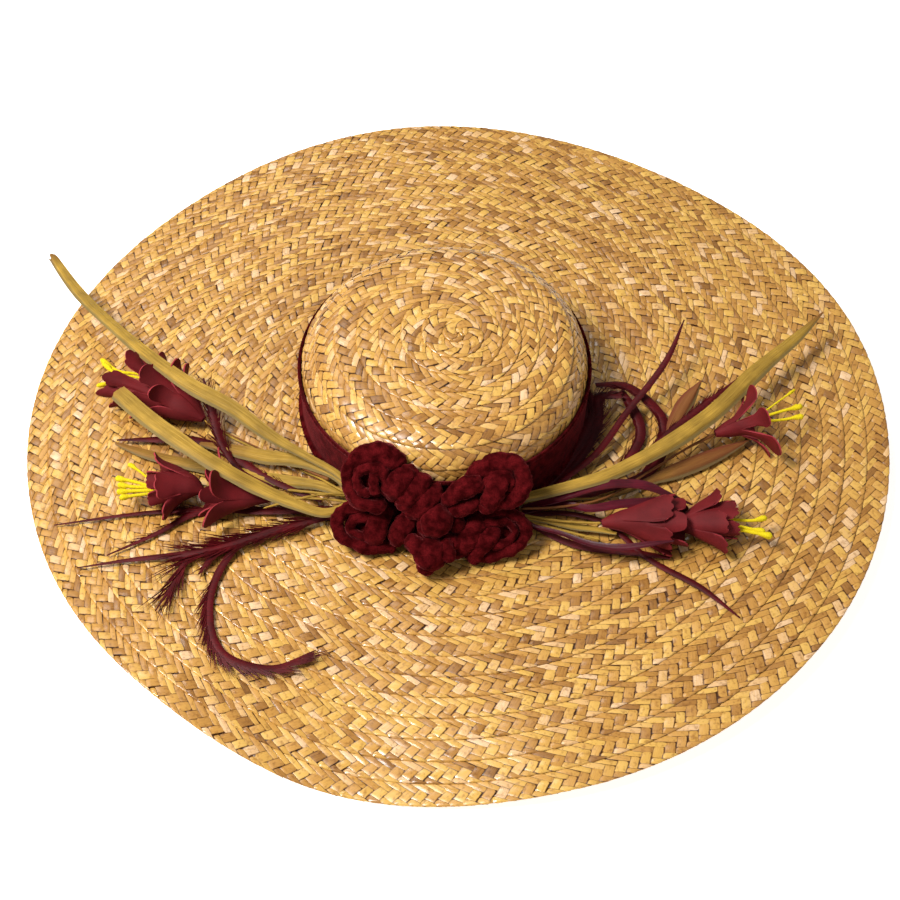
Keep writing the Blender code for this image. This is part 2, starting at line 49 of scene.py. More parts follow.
# Straw surface, the same sizes as the solids
CROWN_X = -0.0045
CROWN_Y = 0.0045
CROWN_HALF_WIDTH = 0.0920
CROWN_HALF_LENGTH = 0.0958
CROWN_TOP = 0.0750
DOME_RISE = 0.0030
SHOULDER_RADIUS = 0.0246
TIP_X = 0.0040
TIP_Y = 0.0062
BRIM_X = 0.0045
BRIM_RADIUS = 0.2800
BRIM_LEVEL = 0.0112
BRIM_CLEARANCE = 0.0014     # from the brim's upper side to petals and velvet that lie on it
FILLET_RADIUS = 0.0090
WAVE_START = 0.1300
WAVE_POWER = 1.6
BRIM_WAVES = (
    # degrees, lift in mm
    (-165, 2.0),
    (-131, 12.0),
    (-103, -9.7),
    (-75, 1.5),
    (-42, 4.0),
    (-24, 3.0),
    (8, 5.0),
    (55, -6.0),
    (100, 2.0),
    (142, -5.5),
)
MEAN_RADIUS = (CROWN_HALF_WIDTH + CROWN_HALF_LENGTH) / 2
TOP_LENGTH = MEAN_RADIUS - SHOULDER_RADIUS
SHOULDER_END = TOP_LENGTH + SHOULDER_RADIUS * math.pi / 2
SHOULDER_LEVEL = CROWN_TOP - DOME_RISE - SHOULDER_RADIUS
WALL_END = SHOULDER_END + SHOULDER_LEVEL - BRIM_LEVEL - FILLET_RADIUS
FILLET_END = WALL_END + FILLET_RADIUS * math.pi / 2
EDGE = FILLET_END + BRIM_RADIUS - MEAN_RADIUS - FILLET_RADIUS

# Braid: one long plait of six straws, sewn in a spiral from the tip to the brim's edge
ROW_PITCH = 0.0130
ROWS = 24                   # turns from the tip until the row's outer edge is the brim's edge
START_ANGLE = math.radians(60)
FIRST_TURN = -0.95          # the coil at the tip starts nearly a turn before the first whole row
BRAID_WIDTH = 0.0140
COLUMN = 0.00275            # one crossing across the braid
COLUMN_START = 0.00025
OUT_STEP = 0.0052           # along the row per column, for a straw on its way outwards
IN_STEP = 0.0023            # and for one on its way inwards
CHEVRON = OUT_STEP + IN_STEP
ROW_DROP = 0.0009           # the row's inner edge lies this much lower than its outer edge
STRAW_THICK = 0.0013        # from the upper straws to the lower ones
EDGE_ROUND = 0.00055
ROW_FLAT = BRAID_WIDTH - 0.0004     # past this depth the straws turn round the row's outer edge
ROW_OVERRUN = 0.0010        # the straws at that edge reach this much past the row's width
EDGE_TURN = 2.5             # and turn round it by up to this, in radians
RINGS_FROM = 8              # from this turn on, the even spiral eases into rings with a step
RINGS_OVER = 4              # over this many turns
STEP_FROM = 0.75            # share of a ring after which it steps out to the next
CORE_STEPS = 130            # points for each turn of the plain core between the floats

# Floats: how a straw lies where it shows, in mm, or in shares of its half length where it dives
DOME_ACROSS = 0.24
DOME_ALONG = 0.14
DOME_FOOT = 0.12
DIVE_FROM = 0.78
DIVE_OVER = 0.5
DIVE_DEPTH = 0.60
OUT_BREADTH = (0.98, 1.20)  # least and most share of its room that a straw on its way outwards fills
IN_BREADTH = (0.90, 1.14)   # and one on its way inwards
BEND = 0.30                 # the most, in mm, that a float is bent sideways
SLIDE = 0.25                # moved along the row
LENGTHEN = 0.30             # made longer or shorter
SKEW = 0.25                 # skewed
SHIFT = 0.12                # moved across the row
ROLL = 0.22                 # lifted at one side
PITCH = 0.20                # lifted at one end
RISE = (-0.07, 0.09)        # and lowered or raised as a whole


def smoothstep(t):
    t = np.clip(t, 0.0, 1.0)
    return t * t * (3 - 2 * t)


def edge_lift(angle):
    """Lift of the brim's edge in metres, eased from one crest or dip to the next."""
    rows = sorted((row[0] % 360, row[1]) for row in BRIM_WAVES)
    rows = [(rows[-1][0] - 360, rows[-1][1])] + rows + [(rows[0][0] + 360, rows[0][1])]
    places = np.array([row[0] for row in rows], float)
    lifts = np.array([row[1] for row in rows], float)
    degrees = np.degrees(angle) % 360
    after = np.clip(np.searchsorted(places, degrees, side="right"), 1, len(places) - 1)
    share = smoothstep((degrees - places[after - 1]) / (places[after] - places[after - 1]))
    return (lifts[after - 1] + (lifts[after] - lifts[after - 1]) * share) * MM


def profile(length):
    """Radius, height and outward normal of the straw's outer surface at arc lengths from the tip."""
    top = length <= TOP_LENGTH
    shoulder = (length > TOP_LENGTH) & (length <= SHOULDER_END)
    wall = (length > SHOULDER_END) & (length <= WALL_END)
    fillet = (length > WALL_END) & (length <= FILLET_END)
    turn = np.clip((length - TOP_LENGTH) / SHOULDER_RADIUS, 0, math.pi / 2)
    foot = np.clip((length - WALL_END) / FILLET_RADIUS, 0, math.pi / 2)
    places = [top, shoulder, wall, fillet]
    radius = np.select(places, [
        length,
        TOP_LENGTH + SHOULDER_RADIUS * np.sin(turn),
        MEAN_RADIUS + 0 * length,
        MEAN_RADIUS + FILLET_RADIUS * (1 - np.cos(foot)),
    ], MEAN_RADIUS + FILLET_RADIUS + length - FILLET_END)
    height = np.select(places, [
        CROWN_TOP - DOME_RISE * (length / TOP_LENGTH) ** 2,
        SHOULDER_LEVEL + SHOULDER_RADIUS * np.cos(turn),
        SHOULDER_LEVEL - (length - SHOULDER_END),
        BRIM_LEVEL + FILLET_RADIUS * (1 - np.sin(foot)),
    ], BRIM_LEVEL + 0 * length)
    out = np.select(places, [0 * length, np.sin(turn), 1 + 0 * length, np.cos(foot)], 0 * length)
    up = np.select(places, [1 + 0 * length, np.cos(turn), 0 * length, np.sin(foot)], 1 + 0 * length)
    return radius, height, out, up


def wave_reach(radius):
    """Share of the edge's lift that the brim has at a radius."""
    return np.clip((radius - WAVE_START) / (BRIM_RADIUS - WAVE_START), 0, None) ** WAVE_POWER


def straw_points(length, angle, offset):
    """Points on the straw's surface, moved along its normal by offset."""
    radius, height, out, up = profile(length)
    radius = radius + out * offset
    height = height + up * offset
    brim_share = np.clip((radius - MEAN_RADIUS) / (BRIM_RADIUS - MEAN_RADIUS), 0, 1)
    tip_share = np.where(length < SHOULDER_END, np.clip(1 - (radius / MEAN_RADIUS) ** 2, 0, 1), 0)
    centre_x = CROWN_X + (BRIM_X - CROWN_X) * brim_share + (TIP_X - CROWN_X) * tip_share
    centre_y = CROWN_Y * (1 - brim_share) + (TIP_Y - CROWN_Y) * tip_share
    width = CROWN_HALF_WIDTH / MEAN_RADIUS * (1 - brim_share) + brim_share
    depth = CROWN_HALF_LENGTH / MEAN_RADIUS * (1 - brim_share) + brim_share
    return np.stack([
        centre_x + radius * width * np.cos(angle),
        centre_y + radius * depth * np.sin(angle),
        height + edge_lift(angle) * wave_reach(radius),
    ], axis=-1)


def add_patches(name, points, material, vectors):
    """One straw piece of many equal grids of quads. points has the shape (patches, rows, columns, 3)."""
    patches, rows, columns, _ = points.shape
    grid = np.arange(rows * columns).reshape(rows, columns)
    quads = np.stack([grid[:-1, :-1], grid[:-1, 1:], grid[1:, 1:], grid[1:, :-1]], axis=-1).reshape(-1, 4)
    corners = (quads[None] + (np.arange(patches) * rows * columns)[:, None, None]).reshape(-1)
    mesh = bpy.data.meshes.new(name)
    mesh.vertices.add(patches * rows * columns)
    mesh.vertices.foreach_set("co", points.reshape(-1).astype(np.float32))
    mesh.loops.add(len(corners))
    mesh.loops.foreach_set("vertex_index", corners.astype(np.int32))
    mesh.polygons.add(len(corners) // 4)
    mesh.polygons.foreach_set("loop_start", np.arange(0, len(corners), 4, dtype=np.int32))
    for key, values in vectors.items():
        data = mesh.attributes.new(key, "FLOAT_VECTOR", "POINT").data
        data.foreach_set("vector", np.broadcast_to(values, points.shape).reshape(-1).astype(np.float32))
    mesh.update(calc_edges=True)
    mesh.shade_smooth()
    return add_piece(name, mesh, [material])


def add_piece(name, mesh, materials):
    for material in materials:
        mesh.materials.append(material)
    piece = bpy.data.objects.new(name, mesh)
    bpy.context.scene.collection.objects.link(piece)
    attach(piece, "root")
    return piece


class Shapes:
    """Closed shapes gathered for one mesh. Each point has a tint, for colour, and a grain place in mm."""

    def __init__(self):
        self.points = []
        self.tints = []
        self.grains = []
        self.faces = []
        self.finishes = []
        self.size = 0

    def add(self, points, faces, finishes, tint, grain):
        self.points.append(points.reshape(-1, 3))
        self.tints.append(np.broadcast_to(tint, points.shape).reshape(-1, 3))
        self.grains.append(np.broadcast_to(grain, points.shape).reshape(-1, 3))
        self.faces += [[corner + self.size for corner in face] for face in faces]
        self.finishes += finishes
        self.size += points.size // 3

    def tube(self, rings, tint=(0, 0, 0), grain=None, closed=False):
        """Joins rings (rings, points, 3) into a tube with capped ends, or into a closed loop."""
        count, around, _ = rings.shape
        faces = []
        for ring in range(count if closed else count - 1):
            low = ring * around
            high = (ring + 1) % count * around
            for k in range(around):
                after = (k + 1) % around
                faces.append([low + k, low + after, high + after, high + k])
        if not closed:
            faces += [list(range(around)), list(range((count - 1) * around, count * around))]
        self.add(rings, faces, [0] * len(faces), tint, rings / MM if grain is None else grain)

    def slab(self, grid, thickness, tint=(0, 0, 0), grain=None, rim_from=None):
        """A thin closed sheet round a grid of points; from row rim_from on, its cut edge has finish 1."""
        rows, columns, _ = grid.shape
        upward = unit(np.cross(np.gradient(grid, axis=1), np.gradient(grid, axis=0)))
        points = np.stack([grid + upward * thickness / 2, grid - upward * thickness / 2])
        below = rows * columns
        faces = []
        for row in range(rows - 1):
            for k in range(row * columns, row * columns + columns - 1):
                quad = [k, k + 1, k + columns + 1, k + columns]
                faces += [quad, [corner + below for corner in reversed(quad)]]
        finishes = [0] * len(faces)
        rim = []
        for side in (0, columns - 1):
            rim += [(row * columns + side, (row + 1) * columns + side, row) for row in range(rows - 1)]
        rim += [(k, k + 1, 0) for k in range(columns - 1)]
        rim += [(below - columns + k, below - columns + k + 1, rows) for k in range(columns - 1)]
        for start, end, row in rim:
            faces.append([start, end, end + below, start + below])
            finishes.append(1 if rim_from is not None and row >= rim_from else 0)
        self.add(points, faces, finishes, tint, points / MM if grain is None else grain)

    def build(self, name, materials, slot, *nodes, sharp=48):
        """The mesh as a piece that stands for the named solids."""
        mesh = bpy.data.meshes.new(name)
        mesh.from_pydata(np.concatenate(self.points).tolist(), [], self.faces)
        mesh.polygons.foreach_set("material_index", self.finishes)
        for key, values in (("tint", self.tints), ("grain", self.grains)):
            data = mesh.attributes.new(key, "FLOAT_VECTOR", "POINT").data
            data.foreach_set("vector", np.concatenate(values).reshape(-1).astype(np.float32))
        turned = bmesh.new()
        turned.from_mesh(mesh)
        bmesh.ops.recalc_face_normals(turned, faces=turned.faces)
        turned.to_mesh(mesh)
        turned.free()
        mesh.shade_smooth()
        mesh.set_sharp_from_angle(angle=math.radians(sharp))
        piece = add_piece(name, mesh, materials)
        if nodes:
            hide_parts(*nodes)
        return piece


def unit(vectors):
    return vectors / np.maximum(np.linalg.norm(vectors, axis=-1, keepdims=True), 1e-9)


def smooth_rows(rows, count):
    """Rows of places and sizes as count rows of a smooth curve through them."""
    rows = np.asarray(rows, float)
    along = np.concatenate([[0], np.cumsum(np.linalg.norm(np.diff(rows[:, :3], axis=0), axis=1))])
    slopes = np.gradient(rows, along, axis=0)
    at = np.linspace(0, along[-1], count)
    after = np.clip(np.searchsorted(along, at, side="right"), 1, len(rows) - 1)
    gap = (along[after] - along[after - 1])[:, None]
    t = (at - along[after - 1])[:, None] / gap
    return (rows[after - 1] * (2 * t ** 3 - 3 * t ** 2 + 1)
            + slopes[after - 1] * gap * (t ** 3 - 2 * t ** 2 + t)
            + rows[after] * (3 * t ** 2 - 2 * t ** 3)
            + slopes[after] * gap * (t ** 3 - t ** 2))


def brim_rise(points):
    """How far the brim's wave lifts it below points in metres."""
    across = points[..., 0] - BRIM_X
    distance = np.hypot(across, points[..., 1])
    return edge_lift(np.arctan2(points[..., 1], across)) * wave_reach(distance)


def on_brim(places):
    """Places in millimetres as points in metres, raised by the brim's wave below them."""
    points = np.asarray(places, float) * MM
    return points + brim_rise(points)[..., None] * UP


def above_brim(points):
    """Points with none of them lower than just above the brim."""
    height = np.maximum(points[..., 2], BRIM_LEVEL + brim_rise(points) + BRIM_CLEARANCE)
    return np.concatenate([points[..., :2], height[..., None]], axis=-1)


def frames_along(points):
    """Direction, side and upward unit vectors along a line of points."""
    direction = unit(np.gradient(points, axis=0))
    side = unit(np.cross(direction, UP))
    return direction, side, np.cross(side, direction)


def lumps(points, per_metre, seed=0):
    """Smooth noise from -1 to 1 at points in metres."""
    places = points.reshape(-1, 3) * per_metre + 17.3 * seed
    return np.array([noise.noise(place) for place in places.tolist()]).reshape(points.shape[:-1])


# Materials

class Finish:
    """A material whose nodes are added one by one."""

    def __init__(self, name):
        self.material = bpy.data.materials.new(name)
        self.material.use_nodes = True
        self.nodes = self.material.node_tree.nodes
        self.links = self.material.node_tree.links

    def fill(self, node, values):
        """Sets a node's inputs, by name or place, to numbers, colours or outputs of other nodes."""
        for key, value in values.items():
            if isinstance(value, bpy.types.NodeSocket):
                self.links.new(value, node.inputs[key])
            else:
                node.inputs[key].default_value = value

    def node(self, kind, values, **settings):
        """A new node's outputs."""
        node = self.nodes.new("ShaderNode" + kind)
        for key, value in settings.items():
            setattr(node, key, value)
        self.fill(node, values)
        return node.outputs

    def shader(self, **values):
        """Sets inputs of the shader; an underscore stands for a space in their names."""
        values = {key.replace("_", " "): value for key, value in values.items()}
        self.fill(self.nodes["Principled BSDF"], values)

    def ramp(self, factor, stops):
        """Colours along a factor: the first stop, the last, and then any between."""
        outputs = self.node("ValToRGB", {"Fac": factor})
        elements = self.nodes[-1].color_ramp.elements
        for index, (place, colour) in enumerate(stops):
            stop = elements[index] if index < 2 else elements.new(place)
            stop.position = place
            stop.color = (*colour, 1)
        return outputs["Color"]

    def noise(self, source, scale, detail=4.0):
        return self.node("TexNoise", {"Vector": source, "Scale": scale, "Detail": detail})["Fac"]

    def place(self):
        return self.node("TexCoord", {})["Object"]

    def tint(self):
        """The three axes of the tint attribute."""
        tint = self.node("Attribute", {}, attribute_name="tint")["Vector"]
        return self.node("SeparateXYZ", {0: tint})

    def grain(self, stretch):
        """The grain attribute, in mm, stretched along its three axes."""
        grain = self.node("Attribute", {}, attribute_name="grain")["Vector"]
        return self.node("VectorMath", {0: grain, 1: stretch}, operation="MULTIPLY")[0]

    def mix(self, blend, factor, first, second):
        """Mixes two colours; the factor and the second colour may be outputs of other nodes."""
        values = {"Factor": factor, "A": first, "B": second}
        return self.node("Mix", values, data_type="RGBA", blend_type=blend)["Result"]


STRAW_COLOURS = (
    (0.0, (0.13, 0.055, 0.016)),
    (1.0, (0.80, 0.55, 0.32)),
    (0.20, (0.36, 0.165, 0.036)),
    (0.45, (0.57, 0.295, 0.066)),
    (0.70, (0.73, 0.445, 0.098)),
    (0.87, (0.70, 0.42, 0.17)),
)
PILE_SHEEN = (0.80, 0.16, 0.17, 1)


def straw_material(name, shade):
    """Split straw: a colour for each length of straw, painted shade along its edges, with grain and worn
    marks.
    """
    finish = Finish(name)
    tint = finish.tint()
    grain = finish.noise(finish.grain((0.10, 2.2, 9.0)), 1.6)
    marks = finish.noise(finish.place(), 420.0, 3.0)
    streaked = finish.node("Math", {0: grain, 1: 0.40, 2: tint["X"]}, operation="MULTIPLY_ADD")[0]
    centred = finish.node("Math", {0: streaked, 1: -0.20}, operation="ADD")[0]
    colour = finish.ramp(centred, STRAW_COLOURS)
    browned = finish.ramp(marks, ((0.30, (0.42, 0.30, 0.22)), (0.48, (1.0, 1.0, 1.0))))
    colour = finish.mix("MULTIPLY", 0.6, colour, browned)
    # painted shade: the tint's Z darkens each float along its sides and towards the ends where it dives
    # under its neighbours
    rim = finish.node("Math", {0: marks, 1: 0.30, 2: tint["Z"]}, operation="MULTIPLY_ADD")[0]
    outline = finish.ramp(rim, ((0.78, (1.0, 1.0, 1.0)), (0.93, (0.13, 0.06, 0.03))))
    colour = finish.mix("MULTIPLY", 0.95, colour, outline)
    colour = finish.mix("MULTIPLY", 1.0, colour, (*shade, 1))
    gloss = finish.node("MapRange", {"Value": tint["Y"], "To Min": 0.18, "To Max": 0.42})["Result"]
    bump = finish.node("Bump", {"Height": grain, "Strength": 0.5, "Distance": 0.00012})["Normal"]
    finish.shader(Base_Color=colour, Roughness=gloss, Specular_IOR_Level=0.6, Normal=bump)
    return finish.material


def surface(name, stops, scale, roughness, masks=(), stretch=None, patch=None, sheen=0.0, specular=0.5,
            bump_size=0.0002):
    """A mottled or streaked surface. masks are colours laid on by the tint's X and Y, and patch is the
    scale and the two shades of large soft patches."""
    finish = Finish(name)
    fine = finish.noise(finish.grain(stretch) if stretch else finish.place(), scale, 5.0)
    colour = finish.ramp(fine, stops)
    if patch:
        per_metre, dark, light = patch
        soft = finish.noise(finish.place(), per_metre, 2.0)
        shades = finish.ramp(soft, ((0.36, (dark,) * 3), (0.66, (light,) * 3)))
        colour = finish.mix("MULTIPLY", 1.0, colour, shades)
    tint = finish.tint()
    for axis, mask in zip("XY", masks):
        colour = finish.mix("MIX", tint[axis], colour, (*mask, 1))
    bump = finish.node("Bump", {"Height": fine, "Distance": bump_size})["Normal"]
    finish.shader(Base_Color=colour, Roughness=roughness, Specular_IOR_Level=specular, Sheen_Weight=sheen,
                  Sheen_Roughness=0.35, Sheen_Tint=PILE_SHEEN, Normal=bump)
    return finish.material


# Braid

def row_edge(turns):
    """Arc length of the row's outer edge: an even spiral on the crown, stepped rings on the brim."""
    whole = np.floor(turns)
    part = turns - whole
    stepped = smoothstep((part - STEP_FROM) / (1 - STEP_FROM))
    ringed = smoothstep((whole - RINGS_FROM) / RINGS_OVER)
    return np.minimum(EDGE - ROW_PITCH * (ROWS - whole - part - (stepped - part) * ringed), EDGE)


def chevron_places():
    """Turn, angle, radius, row edge and its slope at each chevron, evenly spaced along the braid."""
    turns = np.linspace(FIRST_TURN, ROWS + 1, 60000)
    radius = np.maximum(profile(row_edge(turns) - BRAID_WIDTH / 2)[0], 0.005)
    steps = (radius[1:] + radius[:-1]) / 2 * 2 * math.pi * np.diff(turns)
    along = np.concatenate([[0], np.cumsum(steps)])
    at = np.interp(np.arange(0, along[-1], CHEVRON), along, turns)
    middle_radius = np.interp(at, turns, radius)
    slope = (row_edge(at + 0.002) - row_edge(at - 0.002)) / (0.004 * 2 * math.pi * middle_radius)
    return {"turn": at, "angle": START_ANGLE - 2 * math.pi * at, "radius": middle_radius,
            "edge": row_edge(at), "slope": slope}


def straw_tints(rng, count, columns_on):
    """Tint and gloss for each float: each of the six straws keeps its colour for a hand's length or so; the
    few pale floats are partly paler straw and partly a painted highlight.
    """
    strand = (np.arange(count) + columns_on) % 6
    block = (np.arange(count) + columns_on) // 6
    piece = (block + strand * 2) // 5
    own = np.random.default_rng(SEED).random((piece.max() + 2, 6))
    tint = 0.26 + 0.44 * own[piece, strand] + 0.34 * (rng.random(count) - 0.5)
    # pale floats: partly paler straw, partly painted highlight where glossy straw would catch the light
    pale = rng.random(count) > 0.91
    tint = np.where(pale, 0.84 + 0.14 * rng.random(count), tint)
    return np.clip(tint, 0.02, 1.0), rng.random(count)


FLOATS = {
    # column, shift along the row in mm, whether the straw runs outwards, columns passed over, upper side,
    # columns on in the plait
    "upper_inner": (1.5, 0.3, True, 2, True, 0),
    "upper_middle": (3.5, -0.55, False, 2, True, 2),
    "upper_outer": (5.0, 3.5, True, 1, True, 3),
    "lower_inner": (1.5, 3.0, False, 2, False, 4),
    "lower_middle": (3.5, 3.2, True, 2, False, 1),
    "lower_outer": (5.0, 3.5, False, 1, False, 5),
}
OUTER_COLUMN = 5.0


def float_grid(count, outer, upper):
    """Places along and across each float, from -1 to 1 where it shows and on under its neighbours."""
    along = np.linspace(-1.3, 1.3, 6 if upper else 5)
    if outer:
        along = np.linspace(-1.5, 1.0, 7 if upper else 5)
    across = np.linspace(-1, 1, 5 if upper else 3)
    grids = np.meshgrid(along, across, indexing="ij")
    return [np.broadcast_to(grid, (count,) + grid.shape) for grid in grids]


def float_patches(kind, places, rng):
    """Domed strips that dive below their neighbours at both ends, one for each chevron."""
    column, shift, outwards, passed, upper, columns_on = FLOATS[kind]
    count = len(places["angle"])
    outer = column == OUTER_COLUMN
    a, b = float_grid(count, outer, upper)

    def each(low, high):
        return (low + (high - low) * rng.random(count))[:, None, None]

    def up_to(most):
        return each(-most, most)

    step_out = np.array((OUT_STEP, COLUMN))
    step_in = np.array((IN_STEP, -COLUMN))
    long_way = (step_out if outwards else -step_in) * passed / 2
    cross_way = (step_in if outwards else step_out) / 2
    aside = b * each(*(OUT_BREADTH if outwards else IN_BREADTH))
    from_edge = COLUMN_START + (column - 0.5) * COLUMN
    if outer:
        last = (BRAID_WIDTH + ROW_OVERRUN - from_edge - aside * cross_way[1]) / long_way[1]
        a = np.where(a > 0, a * last, a)
    bend = up_to(BEND)
    slid = up_to(SLIDE) + up_to(LENGTHEN) * a + up_to(SKEW) * b
    row_place = a * long_way[0] + aside * cross_way[0] + (shift + bend * (1 - a * a) + slid) * MM
    depth = from_edge + a * long_way[1] + aside * cross_way[1] + up_to(SHIFT) * MM
    wrap = np.minimum(np.clip(depth - ROW_FLAT, 0, None) / EDGE_ROUND, EDGE_TURN)
    depth = np.clip(np.minimum(depth, ROW_FLAT) + EDGE_ROUND * np.sin(wrap), 0.0, None)
    ends = -a if outer else np.abs(a)
    dome = DOME_ACROSS * (1 - b ** 2) - DOME_FOOT + DOME_ALONG * (1 - np.clip(np.abs(a), 0, 1) ** 2)
    dive = DIVE_DEPTH * smoothstep((ends - DIVE_FROM) / DIVE_OVER)
    local = dome + up_to(ROLL) * b + up_to(PITCH) * a + each(*RISE) - dive
    sink = EDGE_ROUND * (1 - np.cos(wrap))
    lift = ROW_DROP * (depth / BRAID_WIDTH - 1)
    offset = lift + local * MM - sink if upper else lift - STRAW_THICK - local * MM + sink
    keys = ("angle", "radius", "edge", "slope")
    angle, radius, edge, slope = (places[key][:, None, None] for key in keys)
    length = edge - slope * row_place - BRAID_WIDTH + depth
    points = straw_points(np.clip(length, 0.0004, None), angle + row_place / radius, offset)
    if not upper:
        points = points[:, :, ::-1]
    tint, gloss = straw_tints(rng, count, columns_on)
    # tint Z: where painted shade darkens the float, along its sides and towards its diving ends
    rim = 0.80 * np.maximum(np.abs(b), np.clip(ends, 0, 1.05) ** 3 * 0.88)
    tints = np.stack(np.broadcast_arrays(tint[:, None, None], gloss[:, None, None], rim), axis=-1)
    straw_id = np.arange(count)[:, None, None] * 0.37 + column
    half = np.linalg.norm(long_way) / MM
    grains = np.stack(np.broadcast_arrays(a * half, b * 2.0, straw_id), axis=-1)
    return points, tints, grains


def make_braid(straw, below, shaded_core):
    """The plait in four lengths, so that each is a piece of its own, with its floats above and below."""
    places = chevron_places()
    sections = {
        # piece: first and last turn, the solid that it stands for
        "braid_crown": (FIRST_TURN, 10.0, "crown"),
        "braid_brim_inner": (10.0, 16.0, "brim"),
        "braid_brim_middle": (16.0, 21.0, "brim"),
        "braid_brim_outer": (21.0, ROWS + 1.01, "brim"),
    }
    for name, (first, last, node) in sections.items():
        chosen = (places["turn"] >= first) & (places["turn"] < last)
        part = {key: values[chosen] for key, values in places.items()}
        for kind in FLOATS:
            rng = np.random.default_rng([SEED, list(FLOATS).index(kind), int(last)])
            points, tints, grains = float_patches(kind, part, rng)
            material = straw if kind.startswith("upper") else below
            piece = add_patches(name + "_" + kind, points, material, {"tint": tints, "grain": grains})
            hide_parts(node)
    turns = np.linspace(FIRST_TURN, ROWS + 1, (ROWS + 2) * CORE_STEPS)[:, None]
    depth = np.array([0.0003, 0.005, 0.010, ROW_FLAT])[None, :]
    length = np.clip(row_edge(turns) - BRAID_WIDTH + depth, 0.0002, None)
    offset = ROW_DROP * (depth / BRAID_WIDTH - 1) - STRAW_THICK * 0.5 + 0 * turns
    points = straw_points(length, START_ANGLE - 2 * math.pi * turns + 0 * depth, offset)
    # the core takes the dark end of the straw colours and a darkened straw material: painted shade between
    # the floats
    finish = {"tint": np.array((0.1, 0.9, 0.0)), "grain": points[None] / MM}
    piece = add_patches("braid_core", points[None], shaded_core, finish)
    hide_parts("crown", "brim")


# Velvet band and bow

BAND_TOP = 0.0510
BAND_BOTTOM = 0.0135
BAND_WALL = 0.0013
GAP = 0.0003
BAND_RIBS = 236             # fine ribs along each rolled edge
BAND_ROLL = 0.09            # share of the band's breadth that each rolled edge takes
BOW_TILT = math.radians(38)
BOW_ROUNDNESS = 0.8         # 1 is an oval roll, and less is squarer
CREASE_HEIGHT = 0.0011      # coarse puffs of the bow's velvet
PUFFS_PER_METRE = 75
LUMP_HEIGHT = 0.0006        # and fine ones
LUMPS_PER_METRE = 190

